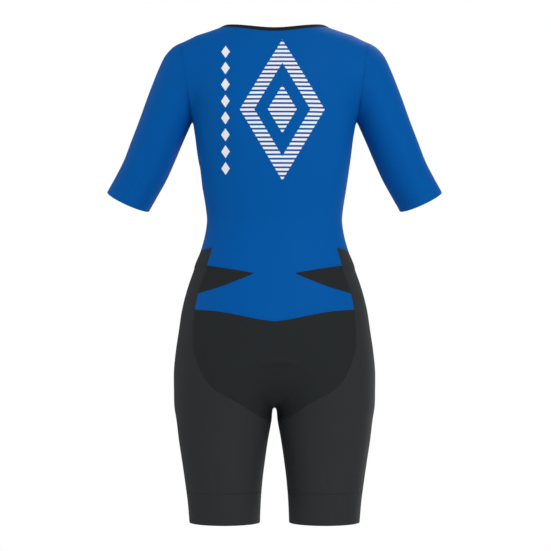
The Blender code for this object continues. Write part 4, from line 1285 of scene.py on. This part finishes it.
class Mesher:
    """Bmesh steps that every cloth piece uses."""

    @staticmethod
    def add_grid(mesh: bmesh.types.BMesh, points: np.ndarray) -> None:
        """Add a grid and give it a UV map in metres.

        Args:
            mesh: The mesh that it is added to.
            points: Where its vertices go, in rows and columns.
        """
        rows, columns = points.shape[:2]
        made = bmesh.ops.create_grid(mesh, x_segments=columns - 1, y_segments=rows - 1, size=1)
        for vertex, point in zip(made["verts"], points.reshape(-1, 3)):
            vertex.co = point
        wide = np.linalg.norm(np.diff(points, axis=1), axis=-1).mean()
        high = np.linalg.norm(np.diff(points, axis=0), axis=-1).mean()
        number = {vertex: index for index, vertex in enumerate(made["verts"])}
        chart = mesh.loops.layers.uv.get("cloth") or mesh.loops.layers.uv.new("cloth")
        for face in {face for vertex in made["verts"] for face in vertex.link_faces}:
            for loop in face.loops:
                row, column = divmod(number[loop.vert], columns)
                loop[chart].uv = (column * wide, row * high)

    @staticmethod
    def inward(edge: bmesh.types.BMEdge, face: bmesh.types.BMFace) -> Vector:
        """Unit vector in the face, square to the edge and into the face.

        Args:
            edge: An edge of the face.
            face: The face.

        Returns:
            The vector.
        """
        direction = (edge.verts[1].co - edge.verts[0].co).normalized()
        across = face.normal.cross(direction)
        middle = (edge.verts[0].co + edge.verts[1].co) / 2
        return across if across.dot(face.calc_center_median() - middle) > 0 else -across

    @classmethod
    def open_seams(cls, mesh: bmesh.types.BMesh) -> None:
        """Draw every border back by half the seam gap and roll a narrow rim of it in.

        Args:
            mesh: The open sheet, which is changed.
        """
        bmesh.ops.inset_region(mesh, faces=mesh.faces[:], thickness=SEAM_RIM, use_boundary=True,
                               use_even_offset=True, use_interpolate=True)
        moves: dict[bmesh.types.BMVert, list[Vector]] = {}
        for edge in [edge for edge in mesh.edges if edge.is_boundary]:
            into = cls.inward(edge, edge.link_faces[0])
            for vertex in edge.verts:
                moves.setdefault(vertex, []).append(into)
        for vertex, ways in moves.items():
            total = sum(ways, Vector())
            spread = 1 + ways[0].dot(ways[-1]) if len(ways) > 1 else 1
            vertex.co += total * (SEAM_GAP / 2) / max(spread, LEAST_SPREAD)
            vertex.co -= vertex.normal * SEAM_ROLL

    @staticmethod
    def face_outwards(mesh: bmesh.types.BMesh) -> None:
        """Make the faces agree and point out of the suit.

        Args:
            mesh: The sheet, which is changed.
        """
        bmesh.ops.recalc_face_normals(mesh, faces=mesh.faces[:])
        middles = np.array([face.calc_center_median() for face in mesh.faces])
        normals = np.array([face.normal for face in mesh.faces])
        if (Form.outward(middles) * normals).sum() < 0:
            bmesh.ops.reverse_faces(mesh, faces=mesh.faces[:])
        mesh.normal_update()

    @classmethod
    def panel(cls, grids: Sequence[np.ndarray], sides: Sequence[int],
              creased: bool = True) -> bmesh.types.BMesh:
        """An open sheet from grids on the wearer's left.

        Args:
            grids: Grids that share edges.
            sides: 1 for the left, -1 for the right, or both for a panel across the middle.
            creased: Whether the creases move it.

        Returns:
            The sheet, faced outwards, with its borders drawn back.
        """
        mesh = bmesh.new()
        for side in sides:
            for grid in grids:
                cls.add_grid(mesh, grid * (side, 1, 1))
        bmesh.ops.remove_doubles(mesh, verts=mesh.verts[:], dist=WELD)
        if creased:
            points = np.array([vertex.co for vertex in mesh.verts])
            for vertex, point in zip(mesh.verts, displace(points)):
                vertex.co = point
        cls.face_outwards(mesh)
        cls.open_seams(mesh)
        return mesh

    @staticmethod
    def finish(name: str, mesh: bmesh.types.BMesh, look: Finish, slot: str,
               replaces: str | None = None, wall: float = 0.0) -> bpy.types.Object:
        """Turn a bmesh into a dressed piece that rides with the suit.

        Args:
            name: The piece's name.
            mesh: Its mesh, which is freed.
            look: Its finish.
            slot: The record's material slot; not used.
            replaces: The CAD node that it stands for.
            wall: Thickness given inwards, if any.

        Returns:
            The piece.
        """
        data = bpy.data.meshes.new(name)
        mesh.to_mesh(data)
        mesh.free()
        data.shade_smooth()
        data.materials.append(look.material())
        made = bpy.data.objects.new(name, data)
        bpy.context.scene.collection.objects.link(made)
        if wall:
            shell = made.modifiers.new("Cloth wall", "SOLIDIFY")
            shell.thickness = wall
            shell.offset = -1
        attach(made, "suit")
        if replaces:
            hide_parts(replaces)
        LOG.info("%s: %d faces", name, len(data.polygons))
        return made


@dataclass(frozen=True)
class Cut:
    """The flat cut of a panel: width, length and area."""

    width: float
    length: float
    area: float

    def declare(self, piece: bpy.types.Object) -> None:
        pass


SIDES = {"left": 1, "right": -1}
BOTH = tuple(SIDES.values())


def sew(name: str, grids: Sequence[np.ndarray], sides: Sequence[int], look: Cloth, slot: str,
        cut: Cut) -> None:
    """Make a cloth panel and dress it; the flat cut's declare step does nothing.

    Args:
        name: Name of the CAD node that it stands for.
        grids: Its grids on the wearer's left.
        sides: 1 for the left, -1 for the right.
        look: Its finish.
        slot: The record's material slot.
        cut: Its flat cut.
    """
    cut.declare(Mesher.finish(f"{name}_cloth", Mesher.panel(grids, sides), look, slot, name, SHELL))


@dataclass
class Upper:
    """Back panel, front halves and sleeves."""

    back_cut: Cut = Cut(0.430, 0.545, 0.182)
    front_cut: Cut = Cut(0.225, 0.465, 0.0736)
    sleeve_cut: Cut = Cut(0.330, 0.275, 0.0692)

    def build(self, layout: Layout) -> None:
        """Build and dress the pieces.

        Args:
            layout: The shared edges.
        """
        sew("back_panel", self.back_grids(layout), BOTH, PRINTED_BLUE, "blue_knit", self.back_cut)
        front, sleeve = self.front_grids(layout), self.sleeve_grids(layout)
        for side, sign in SIDES.items():
            sew(f"front_panel_{side}", front, (sign,), PLAIN_BLUE, "blue_knit", self.front_cut)
            sew(f"sleeve_{side}", sleeve, (sign,), PLAIN_BLUE, "blue_knit", self.sleeve_cut)

    @staticmethod
    def back_grids(edges: Layout) -> list[np.ndarray]:
        """Upper back, the stretch beside the side panels' corners, and the band under the wedges.

        Args:
            edges: The shared edges.

        Returns:
            Three grids.
        """
        upper = fill(
            edges["corner_row"].then(edges["top_back"]), edges["neck_back"], edges["centre_back"],
            edges["side_seam"].then(edges["armhole_back"], edges["shoulder"]))
        notch_row = edges["wedge_neck"].then(edges["wedge_upper"])
        notch_height = notch_row.points[0][2]
        middle = middle_back(notch_height, edges["corner_row"].points[0][2], CORNER_ROWS)
        corner = fill(notch_row, edges["corner_row"], middle, edges["rear_corner"].reverse())
        band_row = edges["wedge_neck"].then(edges["wedge_lower"])
        band_middle = middle_back(edges["band_foot"].points[0][2], notch_height, BAND_ROWS)
        band = fill(edges["band_foot"], band_row, band_middle, edges["rear_band"].reverse())
        return [upper, corner, band]

    @staticmethod
    def front_grids(edges: Layout) -> list[np.ndarray]:
        """One half of the front, from the waist seam to the neck, beside the zip.

        Args:
            edges: The shared edges.

        Returns:
            One grid.
        """
        waist = edges["front_waist"].then(edges["top_front"].reverse())
        start = FINER // 2
        zip_edge = edges["zip_edge"]
        waist.points[:start] = np.linspace(zip_edge.points[0], waist.points[start], start + 1)[:-1]
        waist.coordinates[:start] = Form.coordinates(waist.points[:start])
        outer = edges["side_seam"].then(edges["armhole_front"], edges["shoulder"])
        return [fill(waist, edges["neck_front"], zip_edge, outer)]

    @staticmethod
    def sleeve_grids(edges: Layout) -> list[np.ndarray]:
        """The sleeve from the armhole to the cuff, seamed under the arm."""
        shares = np.linspace(0, 1, SLEEVE_RINGS * FINER + 1)
        return [np.array([arm_ring(share, edges.sleeve_angles) for share in shares])]


@dataclass
class Lower:
    """Wedges, seat, front below the waist, leg panels and leg bands."""

    wedge_cut: Cut = Cut(0.108, 0.052, 0.00293)
    seat_cut: Cut = Cut(0.300, 0.270, 0.0514)
    front_cut: Cut = Cut(0.220, 0.320, 0.0547)
    leg_cut: Cut = Cut(0.550, 0.455, 0.1373)
    band_cut: Cut = Cut(0.430, 0.0580, 0.0248)

    def build(self, layout: Layout) -> None:
        """Build and dress the pieces.

        Args:
            layout: The shared edges.
        """
        seat, front = [self.seat_grid(layout)], [self.front_grid(layout)]
        sew("seat_panel", seat, BOTH, SEAT_BLACK, "seat_knit", self.seat_cut)
        sew("front_lower_panel", front, BOTH, SEAT_BLACK, "seat_knit", self.front_cut)
        pairs = (
            ("back_wedge", self.wedge_grids(layout), SEAT_BLACK, "seat_knit", self.wedge_cut),
            ("leg_panel", self.leg_grids(layout), LEG_BLACK, "leg_knit", self.leg_cut),
            ("leg_band", self.band_grids(layout), BAND_BLACK, "leg_band_knit", self.band_cut))
        for side, sign in SIDES.items():
            for name, grids, look, slot, cut in pairs:
                sew(f"{name}_{side}", grids, (sign,), look, slot, cut)

    @staticmethod
    def wedge_grids(edges: Layout) -> list[np.ndarray]:
        """The wedge over the hip, which narrows to a point towards the middle."""
        tip = Edge.at(np.repeat(edges["wedge_upper"].points[:1], WEDGE_ROWS * FINER + 1, axis=0))
        return [fill(edges["wedge_lower"], edges["wedge_upper"], tip, edges["rear_wedge"].reverse())]

    @staticmethod
    def seat_grid(edges: Layout) -> np.ndarray:
        """The seat between the band and the crotch.

        Args:
            edges: The shared edges.

        Returns:
            The grid.
        """
        outer = edges["rear_seat"].then(edges["rear_thigh"])
        return fill(edges["band_foot"], edges["gusset"], edges["seat_middle"], outer)

    @staticmethod
    def front_grid(edges: Layout) -> np.ndarray:
        """The front between the waist seam and the crotch.

        Args:
            edges: The shared edges.

        Returns:
            The grid.
        """
        outer = edges["front_seam"].then(edges["front_thigh"])
        return fill(edges["front_waist"], edges["gusset"].in_front(), edges["front_middle"], outer)

    @staticmethod
    def leg_grids(edges: Layout) -> list[np.ndarray]:
        """The thigh, which goes right round the leg, and the hip above it.

        Args:
            edges: The shared edges.

        Returns:
            Two grids.
        """
        thigh_top = edges["rear_thigh"].reverse().then(edges["thigh_row"], edges["front_thigh"])
        thigh = fill(edges["leg_band_seam"], thigh_top, edges["inseam"], edges["inseam"].in_front())
        rear = edges["rear_corner"].then(edges["rear_wedge"], edges["rear_band"], edges["rear_seat"])
        top = edges["top_back"].then(edges["top_front"])
        hip = fill(edges["thigh_row"], top, rear.reverse(), edges["front_seam"].reverse())
        return [thigh, hip]

    @staticmethod
    def band_grids(edges: Layout) -> list[np.ndarray]:
        """The gripper band under the leg panel, down to the hem.

        Args:
            edges: The shared edges.

        Returns:
            One grid.
        """
        turns = edges["leg_band_seam"].coordinates[:, 0]
        heights = np.linspace(LEG_BAND_SEAM, HEM, LEG_BAND_ROWS * FINER + 1)
        rows = [Form.place(np.stack([turns, np.full_like(turns, level_of(height))], axis=-1))
                for height in heights]
        rows[0] = edges["leg_band_seam"].points
        return [np.array(rows)]


@dataclass
class Neck:
    """The folded binding round the neck."""

    rows: int = 8
    lap: float = 0.0016
    cut: Cut = Cut(0.530, 0.0100, 0.0049)

    def build(self, layout: Layout) -> None:
        """Build and dress the binding.

        Args:
            layout: The shared edges.
        """
        lower = layout["neck_back"].then(layout["neck_front"].reverse())
        turns = np.arctan2(lower.points[:, 1], lower.points[:, 0])
        upper = neck_line(turns, BINDING_SIDE_TOP, BINDING_BACK_TOP, BINDING_FRONT_TOP)
        foot = neck_line(turns, *(level - self.lap for level in (NECK_SIDE, NECK_BACK, NECK_FRONT)))
        share = np.linspace(0, 1, self.rows + 1)[:, None, None]
        grid = Form.settle(foot[None] * (1 - share) + upper[None] * share)
        crown = BINDING_PROUD + BINDING_CROWN * np.sin(pi * share)
        grid = grid + Form.outward(grid) * crown
        grid[:, 0, 0] = 0
        grid[:, -1, 0] = np.maximum(grid[:, -1, 0], ZIP_HALF_OPENING)
        mesh = Mesher.panel([grid], BOTH, creased=False)
        piece = Mesher.finish("neck_binding_cloth", mesh, TRIM_BLACK, "neck_binding_knit",
                              "neck_binding", BINDING_WALL)
        self.cut.declare(piece)


@dataclass
class Pad:
    """The seat pad behind the seat and front panels: a crowned, channelled fleece."""

    thickness: float = 0.0054
    edge_thickness: float = 0.0018
    channel_depth: float = 0.0016
    channel_width: float = 0.0040
    channel_at: float = 0.0260
    border: float = 0.0120

    def build(self, layout: Layout) -> None:
        """Build and dress the pad.

        Args:
            layout: The shared edges.
        """
        seat = Lower.seat_grid(layout)[PAD_FIRST_ROW * FINER:, :PAD_COLUMNS * FINER + 1]
        front = Lower.front_grid(layout)[PAD_FRONT_FIRST_ROW * FINER:, :PAD_COLUMNS * FINER + 1]
        mesh = bmesh.new()
        for side in BOTH:
            for grid in (seat, front):
                Mesher.add_grid(mesh, grid * (side, 1, 1))
        bmesh.ops.remove_doubles(mesh, verts=mesh.verts[:], dist=WELD)
        Mesher.face_outwards(mesh)
        points = np.array([vertex.co for vertex in mesh.verts])
        normals = Form.outward(points)
        border = np.array([vertex.co for vertex in mesh.verts if vertex.is_boundary])
        apart = np.array([np.linalg.norm(border - point, axis=1).min() for point in points])
        fall = np.sqrt(np.clip(apart / self.border, 0, 1))
        channel = np.exp(-((np.abs(points[:, 0]) - self.channel_at) / self.channel_width) ** 2)
        depth = self.edge_thickness + (self.thickness - self.edge_thickness) * fall
        depth -= self.channel_depth * channel * fall
        outer = points - normals * PAD_DEPTH
        inner = outer - normals * depth[:, None]
        sheet = mesh.verts[:]
        made = bmesh.ops.extrude_face_region(mesh, geom=mesh.faces[:], use_keep_orig=True)
        copies = [item for item in made["geom"] if isinstance(item, bmesh.types.BMVert)]
        lookup = {tuple(vertex.co): index for index, vertex in enumerate(sheet)}
        for vertex in copies:
            vertex.co = inner[lookup[tuple(vertex.co)]]
        for vertex, point in zip(sheet, outer):
            vertex.co = point
        bmesh.ops.recalc_face_normals(mesh, faces=mesh.faces[:])
        piece = Mesher.finish("chamois_pad_fleece", mesh, PAD_GREY, "pad_fleece", "chamois_pad")


@dataclass
class Zip:
    """The tape behind the opening, its coil, and the metal from the CAD."""

    frame: dict
    pitch: float = 0.0015
    coil_reach: float = 0.0026
    coil_size: tuple[float, float, float] = (0.0021, 0.00060, 0.00052)
    coil_segments: tuple[int, int] = (6, 4)
    tape_cut: Cut = Cut(0.0240, 0.4000, 0.0096)

    def build(self, layout: Layout) -> None:
        """Build the tape and the coil, and dress the slider and the tab.

        Args:
            layout: The shared edges.
        """
        heights = layout["zip_edge"].points[:, 2].copy()
        heights[0] -= TAPE_FOOT_LAP
        heights[-1] -= TAPE_END
        across = (0.0, ZIP_HALF_OPENING / 2, ZIP_HALF_OPENING, TAPE_HALF_WIDTH)
        spots = [(x, height) for height in heights for x in across]
        grid = Form.seen_along(FORWARDS, spots).reshape(len(heights), len(across), 3)
        grid = grid - Form.outward(grid) * TAPE_DEPTH
        mesh = Mesher.panel([grid], BOTH, creased=False)
        tape = Mesher.finish("zip_tape_cloth", mesh, TAPE_BLUE, "zip_tape_weave", "zip_tape", TAPE_CLOTH)
        self.tape_cut.declare(tape)
        self.coil(heights)
        for name in ("zip_slider", "zip_pull_tab"):
            materials = self.frame["nodes"][name].data.materials
            materials.clear()
            materials.append(ZIP_METAL.material())
            LOG.info("%s: CAD node in dark metal", name)

    def coil(self, heights: np.ndarray) -> None:
        """The two rows of coil turns, which lock into each other at the middle.

        Args:
            heights: Heights along the tape, from its foot.
        """
        foot, top = heights[0] + TAPE_FOOT_LAP, heights[-1] - self.pitch
        count = int((top - foot) / self.pitch)
        places = np.linspace(foot, top, count)
        middle = Form.seen_along(FORWARDS, [(0.0, height) for height in places])
        normals = Form.outward(middle)
        mesh = bmesh.new()
        for index, (point, normal) in enumerate(zip(middle, normals)):
            side = 1 if index % 2 else -1
            centre = Vector(point - normal * (TAPE_DEPTH - self.coil_size[2]))
            centre.x = side * self.coil_reach / 4
            lean = -atan2(normal[2], -normal[1])
            place = Matrix.Translation(centre) @ Matrix.Rotation(lean, 4, "X") @ Matrix.Diagonal(
                (self.coil_size[0], self.coil_size[2], self.coil_size[1], 1))
            bmesh.ops.create_uvsphere(mesh, u_segments=self.coil_segments[0],
                                      v_segments=self.coil_segments[1], radius=1, matrix=place)
        Mesher.finish("zip_coil", mesh, TAPE_BLUE, "zip_tape_weave")


class Thread(Enum):
    """The threads: finish and slot."""

    BLUE = (BLUE_THREAD, "blue_knit")
    BLACK = (BLACK_THREAD, "leg_knit")


@dataclass
class Stitching:
    """Rows of stitches beside the seams, as a seam machine leaves them."""

    offset: float = 0.0022
    zip_offset: float = 0.0030
    cuff_heights: tuple[float, float] = (0.0180, 0.0205)
    hem_height: float = 0.0045
    rise: float = 0.4
    pitch: float = 0.0030
    size: tuple[float, float, float] = (0.00115, 0.00026, 0.00018)
    segments: tuple[int, int] = (5, 3)
    meshes: dict[Thread, bmesh.types.BMesh] = field(default_factory=dict)
    stitch: bpy.types.Mesh | None = None

    def build(self, layout: Layout) -> None:
        """Lay every row of stitches and dress the threads.

        Args:
            layout: The shared edges.
        """
        self.meshes = {thread: bmesh.new() for thread in Thread}
        self.stitch = self.make_stitch()
        blue, black = Thread.BLUE, Thread.BLACK
        for name, first, second in (
                ("side_seam", blue, blue), ("armhole_back", blue, blue), ("armhole_front", blue, blue),
                ("shoulder", blue, blue), ("top_back", black, blue), ("top_front", black, blue),
                ("wedge_upper", blue, black), ("wedge_lower", black, blue), ("band_foot", blue, black),
                ("rear_corner", black, blue), ("rear_wedge", black, black), ("rear_band", black, blue),
                ("rear_seat", black, black), ("rear_thigh", black, black),
                ("front_seam", black, black), ("front_thigh", black, black), ("front_waist", black, blue),
                ("gusset", black, black), ("inseam", black, black), ("leg_band_seam", black, black)):
            self.rows(layout[name].points, ((-self.offset, first), (self.offset, second)))
        zip_rows = ((-self.zip_offset, blue), (self.zip_offset, blue))
        self.rows(layout["zip_edge"].points, zip_rows, inside=ZIP_HALF_OPENING)
        lower = layout["neck_back"].then(layout["neck_front"].reverse())
        turns = np.arctan2(lower.points[:, 1], lower.points[:, 0])
        levels = (level - self.offset for level in (NECK_SIDE, NECK_BACK, NECK_FRONT))
        under = neck_line(turns, *levels)
        self.rows(under, ((0.0, blue),), inside=ZIP_HALF_OPENING)
        cuff_shares = 1 - np.array(self.cuff_heights) / np.linalg.norm(CUFF_CENTRE - ARMHOLE_CENTRE)
        for share in cuff_shares:
            self.rows(arm_ring(share, layout.sleeve_angles), ((0.0, blue),))
        turns = layout["leg_band_seam"].coordinates[:, 0]
        level = np.full_like(turns, level_of(HEM + self.hem_height))
        self.rows(Form.place(np.stack([turns, level], axis=-1)), ((0.0, black),))
        for thread, mesh in self.meshes.items():
            look, slot = thread.value
            bmesh.ops.recalc_face_normals(mesh, faces=mesh.faces[:])
            Mesher.finish(f"{thread.name.lower()}_stitches", mesh, look, slot)
        bpy.data.meshes.remove(self.stitch)

    def rows(self, line: np.ndarray, offsets: Sequence[tuple[float, Thread]], inside: float = 0.0) -> None:
        """Lay rows of stitches beside a line on the wearer's left, and their mirror images.

        Args:
            line: Points on the form.
            offsets: Distance to the side of the line, and the thread, of each row.
            inside: Stitches nearer the middle plane than this are left out.
        """
        along = np.gradient(line, axis=0)
        along /= np.linalg.norm(along, axis=1, keepdims=True) + TINY
        across = np.cross(Form.outward(line), along)
        for offset, thread in offsets:
            row = Form.settle(line + across * offset)
            length = np.linalg.norm(np.diff(row, axis=0), axis=1).sum()
            count = max(2, int(length / self.pitch))
            spots = Form.settle(evenly(row, row, count))
            for side in BOTH:
                self.stitch_row(displace(spots * (side, 1, 1)), Form.outward(spots * (side, 1, 1)),
                                self.meshes[thread], inside)

    def stitch_row(self, spots: np.ndarray, normals: np.ndarray, whole: bmesh.types.BMesh,
                   inside: float) -> None:
        """Add a stitch between each two spots of a row.

        Args:
            spots: Points along the row.
            normals: The cloth's normals there.
            whole: The mesh that takes the row.
            inside: Stitches nearer the middle plane are left out.
        """
        ahead = np.diff(spots, axis=0)
        ahead /= np.linalg.norm(ahead, axis=1, keepdims=True)
        up = (normals[:-1] + normals[1:]) / 2
        side = np.cross(ahead, up)
        middle = (spots[:-1] + spots[1:]) / 2 + up * self.size[2] * self.rise
        kept = np.abs(middle[:, 0]) > inside
        turns = np.stack([ahead, side, up], axis=1)[kept]
        shape = np.array([vertex.co for vertex in self.stitch.vertices])
        points = shape[None] @ turns + middle[kept][:, None]
        mesh = bmesh.new()
        for _ in range(len(turns)):
            mesh.from_mesh(self.stitch)
        for vertex, point in zip(mesh.verts, points.reshape(-1, 3)):
            vertex.co = point
        row = bpy.data.meshes.new("row")
        mesh.to_mesh(row)
        mesh.free()
        whole.from_mesh(row)
        bpy.data.meshes.remove(row)

    def make_stitch(self) -> bpy.types.Mesh:
        """The shape of one stitch: a slim bead of thread.

        Returns:
            Its mesh.
        """
        mesh = bmesh.new()
        lying = Matrix.Rotation(pi / 2, 4, "Y")
        bmesh.ops.create_uvsphere(mesh, u_segments=self.segments[0], v_segments=self.segments[1],
                                  radius=1, matrix=lying)
        bmesh.ops.scale(mesh, vec=self.size, verts=mesh.verts[:])
        made = bpy.data.meshes.new("stitch")
        mesh.to_mesh(made)
        mesh.free()
        return made


@dataclass
class Studio:
    """Pale floor, soft lights and the camera at the photograph's view."""

    camera_distance: float = 4.5
    view_width: float = 1.008
    middle: tuple[float, float] = (-0.0018, -0.4584)
    floor_height: float = -1.40
    floor_radius: float = 3.20
    ambient: float = 0.41
    aim_height: float = -0.40
    floor_tone: float = 0.86
    floor_roughness: float = 0.9
    floor_segments: int = 96
    sensor: float = 36.0
    lamps: tuple[tuple[str, tuple[float, float, float], float, float], ...] = (
        ("key", (-1.7, 3.0, 2.5), 1.8, 74.0),
        ("fill", (3.2, 1.6, 0.6), 2.2, 20.0),
        ("low_key", (-1.6, 2.2, -1.05), 0.9, 10.5),
        ("front_low_key", (-1.6, -2.2, -1.05), 0.9, 10.5),
        ("front_key", (-1.7, -3.0, 2.5), 1.8, 74.0),
        ("front_fill", (3.2, -1.6, 0.6), 2.2, 20.0),
    )

    def build(self) -> None:
        """Build the floor, the lights and the camera."""
        mesh = bmesh.new()
        bmesh.ops.create_circle(mesh, cap_ends=True, segments=self.floor_segments,
                                radius=self.floor_radius)
        bmesh.ops.translate(mesh, vec=(0, 0, self.floor_height), verts=mesh.verts[:])
        data = bpy.data.meshes.new("floor")
        mesh.to_mesh(data)
        mesh.free()
        floor = bpy.data.objects.new("floor", data)
        bpy.context.scene.collection.objects.link(floor)
        look = bpy.data.materials.new("pale_floor")
        look.use_nodes = True
        shader = look.node_tree.nodes["Principled BSDF"]
        shader.inputs["Base Color"].default_value = (*3 * (self.floor_tone,), 1)
        shader.inputs["Roughness"].default_value = self.floor_roughness
        data.materials.append(look)
        self.lights()
        self.camera()

    def lights(self) -> None:
        """White surroundings and six soft lights, three behind the suit and three in front."""
        scene = bpy.context.scene
        scene.view_settings.view_transform = "Standard"
        world = bpy.data.worlds.new("studio")
        world.use_nodes = True
        tree = world.node_tree
        background = tree.nodes["Background"]
        background.inputs["Color"].default_value = (1.0, 1.0, 1.0, 1)
        rays = tree.nodes.new("ShaderNodeLightPath")
        strength = Groups.maths(tree, "MULTIPLY_ADD", rays.outputs["Is Camera Ray"],
                                1.0 - self.ambient, self.ambient)
        tree.links.new(strength, background.inputs["Strength"])
        scene.world = world
        for name, place, size, power in self.lamps:
            lamp = bpy.data.lights.new(name, "AREA")
            lamp.size = size
            lamp.energy = power
            made = bpy.data.objects.new(name, lamp)
            made.location = place
            aim = Vector((0, 0, self.aim_height)) - Vector(place)
            made.rotation_euler = aim.to_track_quat("-Z", "Y").to_euler()
            scene.collection.objects.link(made)

    def camera(self) -> None:
        """The camera, level behind the suit."""
        data = bpy.data.cameras.new("camera")
        data.sensor_width = self.sensor
        data.lens = data.sensor_width * self.camera_distance / self.view_width
        made = bpy.data.objects.new("camera", data)
        made.location = (self.middle[0], self.camera_distance, self.middle[1])
        made.rotation_euler = (pi / 2, 0, pi)
        bpy.context.scene.collection.objects.link(made)
        bpy.context.scene.camera = made


def main() -> None:
    """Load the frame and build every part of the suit."""
    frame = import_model()
    layout = Layout()
    layout.work_out()
    LOG.info("edges worked out")
    for part in (Upper(), Lower(), Neck(), Pad(), Zip(frame), Stitching()):
        part.build(layout)
    Studio().build()


if __name__ == "__main__":
    main()
